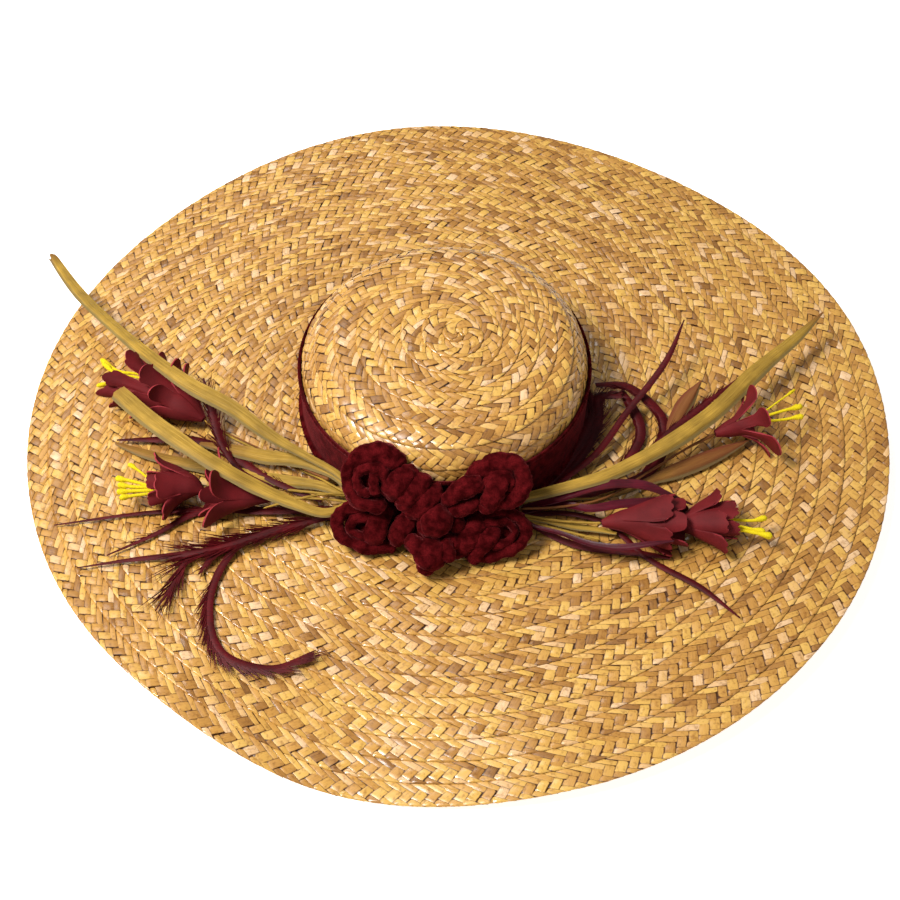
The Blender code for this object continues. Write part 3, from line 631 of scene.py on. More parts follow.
BOW_ROLLS = {
    # each roll: rows of across, raised and outward in the bow's own leaning plane, half width, half depth
    "lobe_upper_left": (
        ((-55, -38, 97, 13, 5), (-42, -42, 97, 13, 5)),
        ((-27, -32, 101, 5.5, 5), (-38, -26, 103.5, 6.8, 6), (-50, -25, 104, 6.5, 6.2),
         (-59, -31, 103.5, 5, 6.2), (-62, -41, 103, 3.9, 6.4), (-57.5, -51, 102, 4, 6.2),
         (-48, -56, 101, 4.2, 6), (-38, -55, 100, 4.5, 5.5)),
        ((-36, -44, 101.5, 4, 5.5), (-41, -35, 103.5, 4.5, 6), (-50, -33, 104.5, 3.6, 6),
         (-56, -38.5, 104.5, 3, 6), (-54, -46.5, 104, 3, 5.5), (-47.5, -49.5, 103, 3, 5)),
        ((-46, -35.5, 105, 3.2, 4.5), (-45.8, -42, 106, 3.2, 4.5), (-45, -49, 104, 3.2, 4.5)),
        ((-38.5, -50.5, 97, 5.5, 4), (-35, -46, 104.5, 6.5, 4.5), (-30.5, -41.5, 107.5, 7, 4.5),
         (-25.5, -37, 105.5, 6.5, 4.5), (-22, -33.5, 100, 5.5, 4)),
    ),
    "neck_upper_left": (
        ((-36, -46, 96, 9, 6), (-24, -48, 95, 8, 6)),
        ((-30.5, -57, 96, 5, 4), (-27, -52.5, 103.5, 6, 4.5), (-21.5, -46.5, 107, 6.5, 4.5),
         (-17, -41.5, 104.5, 6, 4.5), (-14.5, -38.5, 99, 5, 4)),
        ((-23.5, -63.5, 96, 4.5, 4), (-20.5, -59, 101.5, 6, 4.5), (-15, -52.5, 104.5, 6.5, 4.5),
         (-10, -47.5, 102.5, 6, 4.5), (-7, -44, 98, 5, 4)),
        ((-26, -50, 98, 8, 6), (-16, -55, 97, 7.5, 6)),
    ),
    "lobe_lower_left": (
        ((-60, -68.5, 81, 9.5, 4.5), (-38, -70, 81, 9.5, 4.5)),
        ((-31, -62, 84, 5, 5), (-43, -57.5, 85.5, 5.5, 6), (-55, -56.5, 86, 5, 6),
         (-65, -60, 86, 4.5, 6.2), (-69, -67.5, 86, 3.8, 6.4), (-65.5, -75.5, 85.5, 3.8, 6.2),
         (-56, -80, 85, 4, 6), (-44, -82, 84, 4.5, 5.5), (-33, -80, 83, 5, 5)),
        ((-39, -66, 86, 4.5, 5.5), (-50, -63.5, 87.5, 4.5, 6), (-59, -65.5, 88, 3.5, 6),
         (-61, -71, 87.5, 3, 5.5), (-54.5, -75, 87, 3.4, 5.2), (-44, -75.5, 86, 4, 5)),
        ((-51, -69.5, 87, 2.4, 4.5), (-43, -71, 87.5, 3, 5)),
        ((-38.5, -54.5, 83, 5, 4), (-40.5, -59, 89.5, 6.2, 4.5), (-43.5, -66, 92.5, 6.8, 4.5),
         (-46.5, -73, 90.5, 6.4, 4.5), (-48.5, -79, 84, 5, 4)),
    ),
    "neck_lower_left": (
        ((-22.5, -59, 86, 4.5, 4), (-25, -63.5, 91.5, 5.5, 4.5), (-28.5, -69.5, 94, 6, 4.5),
         (-32, -75.5, 91.5, 5.5, 4.5), (-34, -79.5, 86, 4.5, 4)),
        ((-30, -71, 85, 7, 6), (-15, -73, 88, 6.5, 6)),
    ),
    "lobe_upper_right": (
        ((36, -41, 97, 11.5, 5), (20, -43, 97, 10.5, 5)),
        ((9, -41, 100, 4.5, 5), (20, -33, 103, 6, 6), (31, -29, 104, 6, 6.2), (40, -31.5, 104, 5.4, 6.4),
         (43.8, -39.5, 103.5, 4.8, 6.4), (41, -48.5, 102.5, 5.4, 6), (33, -53, 101.5, 5, 5.5),
         (24, -54, 100, 4.5, 5)),
        ((18, -47, 101.5, 4.5, 5.5), (24, -40.5, 103.5, 4.5, 6), (31.5, -37.5, 104, 3.2, 5.5),
         (37, -41.5, 103, 2.6, 5), (33, -47, 102.5, 3.4, 5)),
        ((34, -32.5, 100, 4.5, 4), (31, -38, 105.5, 5.8, 4.5), (26.5, -46, 107.5, 6.4, 4.5),
         (22.5, -53.5, 105, 6, 4.5), (20, -58.5, 99, 5, 4)),
    ),
    "neck_upper_right": (
        ((20.5, -45, 102.5, 2.5, 3.5), (14.5, -43, 107, 5.8, 4.5), (7, -45.5, 107.5, 6.8, 4.5),
         (0, -50, 104.5, 4.8, 4.5), (-5, -54, 101, 2.5, 3.5)),
        ((18.5, -51.5, 100.5, 3.5, 4), (12, -55.5, 103, 4.5, 4.5), (4, -57.5, 101.5, 4.2, 4.5),
         (-2, -59, 99, 2.5, 4)),
        ((12, -46, 99, 7.5, 6), (1, -52, 98, 6.5, 6)),
    ),
    "lobe_lower_right": (
        ((37, -72, 84, 9.5, 4.5), (14, -74, 84, 9.5, 4.5)),
        ((7, -65, 86, 4.5, 5), (20, -60.5, 88, 4.5, 6), (32, -60, 89, 4.5, 6.2), (42, -64, 89, 4, 6.4),
         (45.8, -71, 88.5, 3.8, 6.4), (42, -79, 88, 4, 6.2), (32, -84, 87, 4.5, 6),
         (20, -86, 86, 4.5, 5.5), (8, -84, 85, 4, 5)),
        ((10, -70, 88, 4.5, 5.5), (24, -66.5, 90, 4, 5.8), (34.5, -66, 90.5, 3.1, 6),
         (39, -71.5, 90, 2.7, 6), (35, -77.5, 89.5, 3.1, 5.6), (24, -79, 89, 4.2, 5.4)),
        ((20, -73, 90.5, 4, 5), (28.5, -71.5, 91, 3, 5)),
        ((26.5, -68, 86, 4, 4), (24.5, -73, 92.5, 5.2, 4.5), (19.5, -79.5, 94, 5.6, 4.5),
         (14.5, -85, 91, 5.2, 4.5), (12, -88, 86, 4, 4)),
    ),
    "neck_lower_right": (
        ((18, -63, 87, 4.5, 4), (15.5, -69, 93.5, 6, 4.5), (10, -76, 95.5, 6.4, 4.5),
         (5, -82, 92.5, 5.8, 4.5), (2, -86, 87, 4.5, 4)),
        ((10, -74, 87, 7, 6), (-1, -74, 90, 6, 6)),
    ),
    "knot_centre": (
        ((-12, -62.5, 102, 10.6, 9.5), (-5, -67.5, 102, 10.6, 9.5)),
        ((-18, -66.5, 99, 4.5, 6), (-12, -72, 99, 5, 6)),
        ((1.5, -60, 96, 4.6, 6), (5, -70, 95, 5.4, 6)),
        ((-3, -75.5, 96, 5, 6), (5, -79.5, 94, 5.4, 6)),
    ),
    "knot_lower": (
        ((-17, -84.5, 99.5, 10.6, 9.5), (-7.5, -85.5, 99.5, 10.6, 9.5)),
        ((-14, -74, 93, 5, 6), (-3, -75, 93, 5, 6)),
        ((-26, -75, 95, 4, 4.5), (-21.5, -79.5, 99, 5.6, 5.5), (-15.5, -84, 101, 5.4, 5.5)),
        ((-4.5, -76.5, 97, 4.6, 5.5), (-1.8, -83, 100, 5, 6), (-3.2, -90, 99, 4.8, 6)),
        ((-18, -91, 98, 4.6, 6), (-12, -95, 97.5, 4.8, 6)),
    ),
}
BINDINGS = {
    # face x, depth, lowest y, highest y, top z, in mm
    "left": (-58.0, 2.0, -93.0, -80.4, 28.8),
    "right": (42.0, 2.0, -99.5, -84.8, 29.4),
}
BINDING_FOOT = 13.8
BINDING_WINDS = 8
WIRE_STEPS = 40             # rings along each stem, twig and strand


def length_at_height(height):
    """Arc length where the crown's wall or its foot has a given height."""
    if height >= BRIM_LEVEL + FILLET_RADIUS:
        return SHOULDER_END + SHOULDER_LEVEL - height
    return WALL_END + FILLET_RADIUS * math.asin((BRIM_LEVEL + FILLET_RADIUS - height) / FILLET_RADIUS)


def make_band(velvet):
    """Ribbon round the crown's foot: rolled, ribbed edges and a soft, slightly wrinkled face."""
    top = length_at_height(BAND_TOP)
    bottom = length_at_height(BAND_BOTTOM)
    angle = np.linspace(0, 2 * math.pi, BAND_RIBS * 4, endpoint=False)[:, None]

    def ribbon(share, outward):
        return straw_points(top + (bottom - top) * share + 0 * angle, angle + 0 * share, outward)

    parts = [np.linspace(0, BAND_ROLL, 5), np.linspace(0.13, 0.87, 12), np.linspace(1 - BAND_ROLL, 1, 5)]
    share = np.concatenate(parts)[None, :]
    near_edge = np.minimum(share, 1 - share) / BAND_ROLL
    roll = np.sqrt(np.clip(1 - (np.clip(near_edge, 0, 1) * 1.6 - 0.8) ** 2, 0, 1)) * (near_edge < 1)
    ribbed = 0.16 * np.sin(angle * BAND_RIBS) * (near_edge < 1)
    face = ribbon(share, 0 * share)
    soft = lumps(face * (1, 1, 0.45), 46, 3) * 0.8 + lumps(face, 120, 4) * 0.3
    outward = (BAND_WALL + GAP) / MM + 0.55 * soft * (1 - roll) + 0.8 * roll + ribbed
    behind = np.linspace(0.98, 0.02, 6)[None, :]
    rings = np.concatenate([ribbon(share, outward * MM), ribbon(behind, GAP + 0 * behind)], axis=1)
    pale = np.concatenate([roll + 0 * angle, 0 * behind + 0 * angle], axis=1) * 0.45
    shapes = Shapes()
    shapes.tube(rings, np.stack([pale, 0 * pale, 0 * pale], axis=-1), closed=True)
    piece = shapes.build("band_ribbon", [velvet], "velvet", "band", sharp=80)


def tilted(places):
    """Places across, raised and outward in the bow's leaning plane, in mm, as points in metres."""
    across, raised, outward = np.moveaxis(np.asarray(places, float), -1, 0)
    return np.stack([
        across,
        raised * math.cos(BOW_TILT) - outward * math.sin(BOW_TILT),
        raised * math.sin(BOW_TILT) + outward * math.cos(BOW_TILT),
    ], axis=-1) * MM


def round_ends(count, cap):
    """Sizes along a roll that close its ends in half circles; cap is the share of its length they take."""
    share = np.linspace(0, 1, count)
    near = np.clip(np.minimum(share, 1 - share) / cap, 0.02, 1)
    return np.sqrt(1 - (1 - near) ** 2)


def roll_rings(centre, across, depth, facing, around=36, roundness=1.0):
    """Oval rings along a line: across lies in the plane that faces a given way, depth stands out of it."""
    direction = unit(np.gradient(centre, axis=0))
    side = unit(np.cross(direction, facing))
    outward = np.cross(side, direction)
    turn = np.linspace(0, 2 * math.pi, around, endpoint=False)[None, :, None]
    sideways = np.sign(np.cos(turn)) * np.abs(np.cos(turn)) ** roundness
    outwards = np.sign(np.sin(turn)) * np.abs(np.sin(turn)) ** roundness
    return (centre[:, None] + (side * across[:, None])[:, None] * sideways
            + (outward * depth[:, None])[:, None] * outwards)


def crumple(rings, seed, coarse, fine):
    """Pushes the rings in and out from their middles: puffs between creases, and fine lumps, in metres."""
    away = unit(rings - rings.mean(axis=1, keepdims=True))
    puffs = 2.6 * np.abs(lumps(rings, PUFFS_PER_METRE, seed)) - 0.6
    small_puffs = 2.6 * np.abs(lumps(rings * (1, 1.6, 1.6), LUMPS_PER_METRE, seed + 5)) - 0.6
    return rings + away * (puffs * coarse + small_puffs * fine)[..., None]


def wire_rings(rows, cap, around, swell=1.0):
    """Round rings along rows of x, y, z and radius in mm, on the brim's wave and closed at both ends."""
    line = smooth_rows(rows, WIRE_STEPS)
    thick = line[:, 3] * swell * round_ends(WIRE_STEPS, cap) * MM
    return roll_rings(on_brim(line[:, :3]), thick, thick, UP, around)


def make_bow(velvet):
    """Coiled and wrapped velvet rolls, each crumpled a little."""
    facing = tilted((0, 0, 1)) / MM
    for number, (name, rolls) in enumerate(BOW_ROLLS.items()):
        shapes = Shapes()
        for index, rows in enumerate(rolls):
            length = np.linalg.norm(np.diff(np.array(rows)[:, :3], axis=0), axis=1).sum()
            count = int(np.clip(length * 1.8, 24, 90))
            line = smooth_rows(rows, count)
            if len(rows) == 2:
                reach = (line[-1] - line[0]) * (0.5 * line[0, 3] / length)
                line[:, :3] += np.linspace(-1, 1, count)[:, None] * reach[:3]
            size = round_ends(count, min(0.5, 0.9 * line[:, 3].mean() / length)) * MM
            half_width, half_depth = line[:, 3] * size, line[:, 4] * size
            rings = roll_rings(tilted(line[:, :3]), half_width, half_depth, facing, roundness=BOW_ROUNDNESS)
            shapes.tube(above_brim(crumple(rings, number * 9 + index, CREASE_HEIGHT, LUMP_HEIGHT)))
        piece = shapes.build("velvet_" + name, [velvet], "velvet", "bow_" + name, sharp=180)


def make_bindings(velvet):
    """Cord wound round the ends of the stems, hidden behind the bow."""
    for name, (face_x, depth, low_y, high_y, top) in BINDINGS.items():
        inner_x = face_x - math.copysign(depth, face_x)
        middle = (face_x + inner_x) / 2
        radius = (top - BINDING_FOOT) / BINDING_WINDS / 2
        shapes = Shapes()
        for wind in range(BINDING_WINDS):
            level = BINDING_FOOT + radius * (2 * wind + 1)
            rows = np.linspace((middle, low_y, level), (middle, high_y, level), 14) * MM
            size = round_ends(14, 0.1) * MM
            rings = roll_rings(rows, depth / 2 * size, radius * 1.06 * size, UP, 10)
            shapes.tube(crumple(rings, wind, 0.0, 0.00008))
        shapes.build("wound_cord_" + name, [velvet], "velvet", "binding_" + name, sharp=180)


# Leaves

LEAVES = {
    "left_long": (
        # x, y, z, width
        (-58.3, -82.5, 27.5, 4),
        (-72, -68.5, 28, 4),
        (-90, -58, 30, 5),
        (-114, -45, 35, 8),
        (-139, -28, 41.5, 10),
        (-165, -14, 45.5, 10),
        (-192, 8, 46, 9),
        (-222, 40, 41, 8),
        (-255, 80, 36, 8),
        (-281.9, 122, 32, 6),
    ),
    "left_front": (
        (-58.3, -89.5, 26.5, 5),
        (-76, -99, 27.5, 6),
        (-97, -94, 31, 8),
        (-119, -86, 36, 10),
        (-141, -76, 42, 10),
        (-164, -61, 45, 11),
        (-189, -41, 45, 11),
        (-213, -17, 43, 11),
    ),
    "left_inner": (
        (-58.3, -84, 24, 6),
        (-72, -68, 24.5, 7),
        (-92, -57, 23.5, 9),
        (-118, -51, 21, 9),
        (-141, -44, 19, 8),
        (-161, -39, 18, 3),
    ),
    "left_low": (
        (-58.3, -85, 20, 6),
        (-79, -74, 20, 6),
        (-108, -67, 17.5, 8),
        (-145, -58, 15.5, 8),
        (-175, -51, 15, 8),
        (-193, -46, 15, 7),
        (-216, -37, 14.5, 2),
    ),
    "right_long": (
        (42.3, -88, 28, 6),
        (66, -82, 30, 8),
        (95, -73, 32, 9),
        (121, -59, 33, 10),
        (161, -30, 34.5, 11),
        (203, 14, 35, 10),
        (235, 45, 35, 6),
        (249, 60, 35.5, 1),
    ),
    "right_upright": (
        (42.3, -86, 24.5, 2),
        (68, -82, 25, 2),
        (93, -69, 24, 2),
        (126, -52, 23, 2),
        (139, -35, 22.5, 5),
        (145, -21, 22.5, 10),
        (154, -5, 24, 10),
        (164, 9, 27, 1),
    ),
    "right_brown": (
        (42.3, -86, 20.5, 2),
        (68, -82, 19, 2),
        (100, -78, 17, 2),
        (127, -64, 16, 6),
        (152, -53, 16.5, 11),
        (174, -42, 16.5, 8),
        (192, -33, 17, 1),
    ),
    "right_low": (
        (42.3, -96, 19.8, 3),
        (58, -98, 18.6, 3),
        (74, -101, 17.8, 4),
        (89, -103, 17.2, 4),
        (102, -106, 16.8, 2),
    ),
}
LEAF_STEPS = 64
LEAF_SHEET = 0.45           # thickness of a blade in mm
LEAF_RIDGE = 0.30           # its ridge's place across, from -1 to 1 at the edge that faces the front
LEAF_LOOKS = {
    # where the brown tip begins as a share of the length, how brown it is, how torn the tip is in mm
    "left_long": (0.95, 0.8, 6.0),
    "left_front": (0.96, 0.4, 1.6),
    "left_inner": (0.55, 0.7, 1.0),
    "left_low": (0.45, 0.7, 1.0),
    "right_long": (0.90, 1.0, 0.5),
    "right_upright": (-0.3, 1.1, 1.5),
    "right_brown": (-0.2, 1.1, 1.0),
    "right_low": (0.9, 0.2, 0.5),
}


def leaf_fold(front):
    """Height of a blade across its breadth, up to its ridge and down to the edge that faces the front."""
    behind = 1.3 - 1.0 * (LEAF_RIDGE - front) / (1 + LEAF_RIDGE)
    before = 1.3 - 2.6 * (front - LEAF_RIDGE) / (1 - LEAF_RIDGE)
    return np.where(front < LEAF_RIDGE, behind, before)


def make_leaves(leaf):
    """Dried blades, ridged near the edge that faces the front, ribbed along and torn at the tip."""
    for number, (name, rows) in enumerate(LEAVES.items()):
        brown_from, brown, torn = LEAF_LOOKS[name]
        line = smooth_rows(rows, LEAF_STEPS)
        points = on_brim(line[:, :3])
        direction, side, upward = (vectors[:, None] for vectors in frames_along(points))
        share = np.linspace(0, 1, LEAF_STEPS)[:, None]
        length = np.linalg.norm(np.diff(points, axis=0), axis=1).sum() / MM
        across = np.linspace(-1, 1, 17)[None, :]
        front = across * (1 if rows[-1][0] > 0 else -1)
        wander = np.array([noise.noise((place * 9, number * 3.1, 0)) for place in share[:, 0]])[:, None]
        half = line[:, 3:4] / 2 * (1 + 0.12 * wander)
        ribs = 0.14 * np.cos(front * 13 + wander * 2)
        height = (leaf_fold(front) - 0.6 + ribs) * np.clip(half / 4.5, 0.15, 1)
        roll = (0.16 * np.sin(share * 6 + number * 2.1))[..., None]
        flat = side * np.cos(roll) + upward * np.sin(roll)
        rise = upward * np.cos(roll) - side * np.sin(roll)
        tear = np.array([noise.noise((place * 2.3, number, 5)) for place in across[0]])[None, :]
        tear = torn * (tear - 0.5 * front ** 2) * smoothstep((share - 0.9) / 0.1)
        grid = points[:, None] + (flat * (across * half)[..., None] + rise * height[..., None]
                                  + direction * tear[..., None]) * MM
        browned = smoothstep((share - brown_from) / (1.02 - brown_from))
        browned = brown * browned * (0.75 + 0.25 * front ** 2)
        greyed = 0.8 * smoothstep((front - LEAF_RIDGE - 0.25) / 0.20) + 0 * share
        tint = np.stack(np.broadcast_arrays(browned, greyed, 0.0 * greyed), axis=-1)
        grain = np.stack(np.broadcast_arrays(share * length, across * half, float(number)), axis=-1)
        shapes = Shapes()
        shapes.slab(grid, LEAF_SHEET * MM, np.stack([tint, tint]), np.stack([grain, grain]))
        shapes.build("dry_leaf_" + name, [leaf], "leaf", "leaf_" + name)


# Flowers

FLOWERS = {
    "left_large": (
        # x, y, z, radius
        (-160, -22, 22, 1.8),
        (-170, -15.5, 24.5, 9.5),
        (-184.5, -6, 26, 13.6),
        (-199, 2, 27, 15.2),
    ),
    "left_inner": (
        (-111, -84, 21, 1.8),
        (-119, -84, 22.5, 4.5),
        (-130, -85, 24, 8),
        (-148, -85, 25.5, 10),
    ),
    "left_outer": (
        (-154, -82, 25.5, 1.8),
        (-160, -80, 26, 6.5),
        (-169, -79, 26, 9.5),
        (-182, -81, 26, 9),
    ),
    "right_upper": (
        (169, -34, 25, 1.8),
        (178, -31, 26, 5),
        (186, -28, 26.5, 6.5),
        (195, -25, 27, 7.5),
    ),
    "right_inner": (
        (93, -101.5, 21.5, 1.8),
        (105, -101, 23.5, 6.5),
        (117, -102, 24.5, 10),
        (129, -103, 25, 12.5),
    ),
    "right_outer": (
        (137, -105, 25, 1.8),
        (143, -104, 25, 6),
        (152, -103, 25, 10),
        (164, -102, 25, 11),
    ),
}
BELL_FLATTENING = 0.8
FOAM_SHEET = 1.0            # thickness of the petals in mm
BELL_STEPS = 40             # points along a flower's line
BELL_ROWS = 9               # rows of a petal's grid before the petals part
FLOWER_LAYERS = {
    # per layer of petals: count, turn in degrees, share of the bell where they part, length past its mouth
    # and flare in mm, squareness of the tip, scallops at the tip, bell size, waist of the petal
    "left_large": (
        (7, 15, 0.42, -8, 14, 1.8, 0, 1.00, 0.90),
        (6, 40, 0.56, 6, 13, 2.4, 2, 0.92, 0.66),
        (9, 10, 0.68, 24, 14, 3.6, 2, 0.80, 0.55),
    ),
    "left_inner": (
        (5, 20, 0.50, 9, 19, 1.6, 0, 1.05, 1.00),
        (5, 56, 0.62, 9, 9, 1.8, 0, 0.85, 0.95),
    ),
    "left_outer": (
        (5, 40, 0.30, 5, 15, 3.0, 3, 1.08, 1.00),
        (5, 14, 0.80, 6, 0, 3.6, 3, 1.04, 1.00),
    ),
    "right_upper": (
        (6, 8, 0.50, 12, 22, 2.2, 0, 1.00, 0.56),
    ),
    "right_inner": (
        (5, 20, 0.36, 10, 7, 4.5, 4, 1.00, 1.10),
        (5, 56, 0.50, 16, 2, 3.4, 0, 0.90, 1.05),
    ),
    "right_outer": (
        (5, 60, 0.30, 6, 9, 4.0, 4, 1.00, 1.05),
        (5, 25, 0.50, 12, 1, 4.5, 4, 0.95, 1.10),
    ),
}


def petal_grid(name, layer, petal, rng):
    """One petal with its share of the bell, as a grid from the bell's base to the petal's tip."""
    count, turn, part_at, past, flare, squareness, scallops, size, waist = layer
    line = smooth_rows(FLOWERS[name], BELL_STEPS)
    points = on_brim(line[:, :3])
    direction, side, upward = frames_along(points)
    steps = np.linalg.norm(np.diff(points, axis=0), axis=1)
    along = np.concatenate([[0], np.cumsum(steps)])
    part = part_at * along[-1]
    whole = along[-1] + past * (1 + 0.12 * rng.uniform(-1, 1)) * MM
    across = np.linspace(-1, 1, 21)[None, :]
    outline = (1 - np.abs(across) ** squareness) ** (1 / squareness)
    if scallops:
        outline = outline * (0.90 + 0.10 * np.abs(np.cos(across * math.pi / 2 * scallops)) ** 0.8)
    bell = np.linspace(0, part, BELL_ROWS)[:, None] + 0 * across
    opened = part + (whole - part) * np.linspace(0, 1, 16)[1:, None] * outline
    at = np.concatenate([bell, opened])
    reach = np.clip((at - part) / (whole - part), 0, 1)
    lean = flare * (1 + 0.2 * rng.uniform(-1, 1)) * MM * reach ** 1.5
    at = at - 0.45 * np.abs(lean) * reach
    inside = np.clip(at, 0, along[-1])

    def along_bell(values):
        return np.stack([np.interp(inside, along, values[:, axis]) for axis in range(3)], axis=-1)

    centre = along_bell(points) + direction[-1] * (at - inside)[..., None]
    radius = np.interp(inside, along, line[:, 3]) * size * MM + (at - inside) * 0.05 + lean
    radius += 0.0007 * across * (0.3 + reach)
    radius += 0.0011 * reach * np.sin(across * 3 + petal * 2.3 + rng.uniform(0, 6))
    radius += (0.0016 if flare < 8 else -0.0014) * across ** 2 * reach
    narrowed = 1.05 - (1 - waist) * np.sin(math.pi * np.clip(reach * 1.3, 0, 1)) - 0.10 * reach
    middle = 2 * math.pi * petal / count + math.radians(turn + 7 * rng.uniform(-1, 1))
    angle = middle + across * math.pi / count * narrowed
    grid = centre + (along_bell(side) * np.cos(angle)[..., None]
                     + along_bell(upward) * np.sin(angle)[..., None] * BELL_FLATTENING) * radius[..., None]
    return above_brim(grid)


def make_flowers(foam, foam_edge):
    """Bells of thin foam: each petal is its own sheet, with a paler cut edge."""
    for number, name in enumerate(FLOWERS):
        rng = np.random.default_rng([SEED, number])
        shapes = Shapes()
        for layer in FLOWER_LAYERS[name]:
            for petal in range(layer[0]):
                shapes.slab(petal_grid(name, layer, petal, rng), FOAM_SHEET * MM, rim_from=BELL_ROWS - 1)
        piece = shapes.build("foam_flower_" + name, [foam, foam_edge], "foam", "flower_" + name, sharp=60)


STAMENS = {
    # per flower its strands: rows of x, y, z, radius, from inside the bell to the flocked tip
    "left_large": (
        ((-184, 3, 26, 0.8), (-206, 12, 26.8, 1.1), (-218, 13, 27.8, 1.3), (-232, 23, 29, 1.5)),
        ((-184, 1, 26.5, 0.8), (-206, 8, 28, 1), (-219, 10, 29, 1.2), (-230, 19, 30, 1.3)),
        ((-184, 0, 25, 0.8), (-204, 4, 25.5, 0.9), (-220, 5, 26, 1), (-232, 2, 26, 1.3)),
    ),
    "left_outer": (
        ((-170, -79, 27, 0.8), (-186, -80, 27, 1.2), (-198, -77, 27.5, 1.3), (-208, -75, 27.8, 1.6)),
        ((-170, -79.5, 26, 0.8), (-186, -81, 26.6, 1.3), (-198, -81, 27, 1.4), (-206, -80, 27.5, 1.6)),
        ((-170, -80, 25.5, 0.8), (-186, -83, 26, 1.3), (-198, -84, 26.2, 1.4), (-206, -85, 26.5, 1.6)),
        ((-170, -80.5, 25, 0.8), (-186, -85, 25.2, 1.2), (-196, -87, 25.4, 1.3), (-204, -89, 25.5, 1.5)),
        ((-170, -78, 28, 0.7), (-186, -76, 28.4, 0.9), (-194, -70, 29.2, 1), (-201, -65, 29.8, 1.3)),
    ),
    "right_upper": (
        ((187, -27, 27.5, 0.7), (200, -20, 28.6, 0.7), (211, -12, 30, 0.7), (223, -3, 31.4, 0.7)),
        ((187, -28, 27, 0.8), (200, -23, 27.8, 1.1), (213, -19, 29, 1.2), (226, -16, 30, 1.7)),
        ((187, -29, 26.5, 0.8), (200, -26, 26.8, 1), (213, -25, 27.6, 1.1), (226, -23, 28.5, 1.5)),
    ),
    "right_outer": (
        ((153, -102, 25.5, 0.8), (172, -102, 26, 1.1), (184, -103, 26.4, 1.2), (193, -101, 26.8, 1.6)),
        ((153, -104, 25, 0.8), (172, -108, 25, 1.3), (184, -111, 25, 1.4), (195, -114, 25, 1.7)),
        ((153, -103, 25, 0.8), (172, -106, 25.6, 1.1), (183, -109, 25.8, 1.2), (191, -111, 25.8, 1.5)),
    ),
}


def make_stamens(stamen):
    """Strands with flocked, thicker tips."""
    share = np.linspace(0, 1, WIRE_STEPS)
    for number, (name, strands) in enumerate(STAMENS.items()):
        shapes = Shapes()
        for index, rows in enumerate(strands):
            swell = 0.82 + 0.45 * smoothstep((share - 0.80) / 0.1)
            rings = wire_rings(rows, 0.05, 12, swell)
            away = unit(rings - rings.mean(axis=1, keepdims=True))
            flock = (0.10 + 0.5 * smoothstep((share - 0.78) / 0.1))[:, None]
            flock = lumps(rings, 1500, number * 5 + index) * flock
            shapes.tube(rings + away * flock[..., None] * MM)
        shapes.build("strands_" + name, [stamen], "stamen", "stamens_" + name, sharp=180)


# Stems

STEMS = {
    # rows of x, y, z, radius; the named solid, if any, has the same line
    "left_large": ((-58.3, -84, 22.2, 0.8), (-72, -76, 22.4, 0.8), (-81, -68.6, 20.5, 0.8),
                   (-96, -57, 15, 0.9), (-119, -43, 13.9, 0.9), (-140, -32, 14.5, 0.8),
                   (-153, -26, 18, 0.8), (-159.8, -22.3, 21.8, 0.7)),
    "left_inner": ((-58.3, -89, 23.2, 0.8), (-76, -86, 23, 0.8), (-94, -84, 21.5, 0.8),
                   (-110.6, -84, 21, 0.8)),
    "left_outer": ((-130.6, -85, 24.1, 0.8), (-144, -85, 25, 0.8), (-153.6, -82, 25.5, 0.8)),
    "right_upper": ((42.3, -94, 25.5, 0.8), (67, -92, 25, 0.8), (92, -85, 23, 0.8), (125, -62, 22, 0.8),
                    (152, -43, 23, 0.9), (168.7, -34.2, 25, 1.3)),
    "right_inner": ((42.3, -96, 22.3, 0.8), (67, -100, 21.5, 0.8), (84, -101, 21, 0.8),
                    (92.6, -101.5, 21.5, 0.8)),
    "right_outer": ((117.6, -102, 24.5, 0.8), (127, -103.5, 25, 0.8), (136.6, -105, 25, 0.8)),
}
TWIGS = {
    # thin stems of the dried spray, rows of x, y, z, radius; true for the brown ones
    "twig_left_upper": (False, ((-58, -85, 24.5, 0.9), (-81, -81, 22.5, 0.8), (-102, -77, 20.5, 0.8))),
    "twig_left_lower": (False, ((-58, -84, 26.5, 0.8), (-78, -86.5, 29, 0.7), (-96, -92, 30.5, 0.7),
                                (-114, -99, 31, 0.5))),
    "stalk_left_long": (True, ((-70, -77, 17.5, 0.7), (-92, -60, 15.5, 0.6), (-119, -43, 15.5, 0.6),
                               (-153, -24, 16, 0.5))),
    "stalk_left_short": (True, ((-76, -70, 22, 1.2), (-90, -62, 20.5, 0.9), (-104, -52, 18.5, 0.6))),
    "twig_right_low": (False, ((44, -97, 18.5, 0.8), (70, -104, 16.6, 0.8), (92, -110, 16, 0.7))),
}


def make_stems(leaf):
    """Covered wires of the flowers and thin dried stems between them."""
    lines = {}
    for name, rows in STEMS.items():
        lines["wire_" + name] = (name == "right_upper", rows, ("stem_" + name,))
    for name, (brown, rows) in TWIGS.items():
        lines[name] = (brown, rows, ())
    for number, (name, (brown, rows, nodes)) in enumerate(lines.items()):
        rings = wire_rings(rows, 0.02, 10)
        shapes = Shapes()
        shapes.tube(crumple(rings, number, 0.00012, 0.00012), (0.8 if brown else 0.0, 0.0, 0.0))
        shapes.build(name, [leaf], "leaf", *nodes, sharp=180)


# Feathers

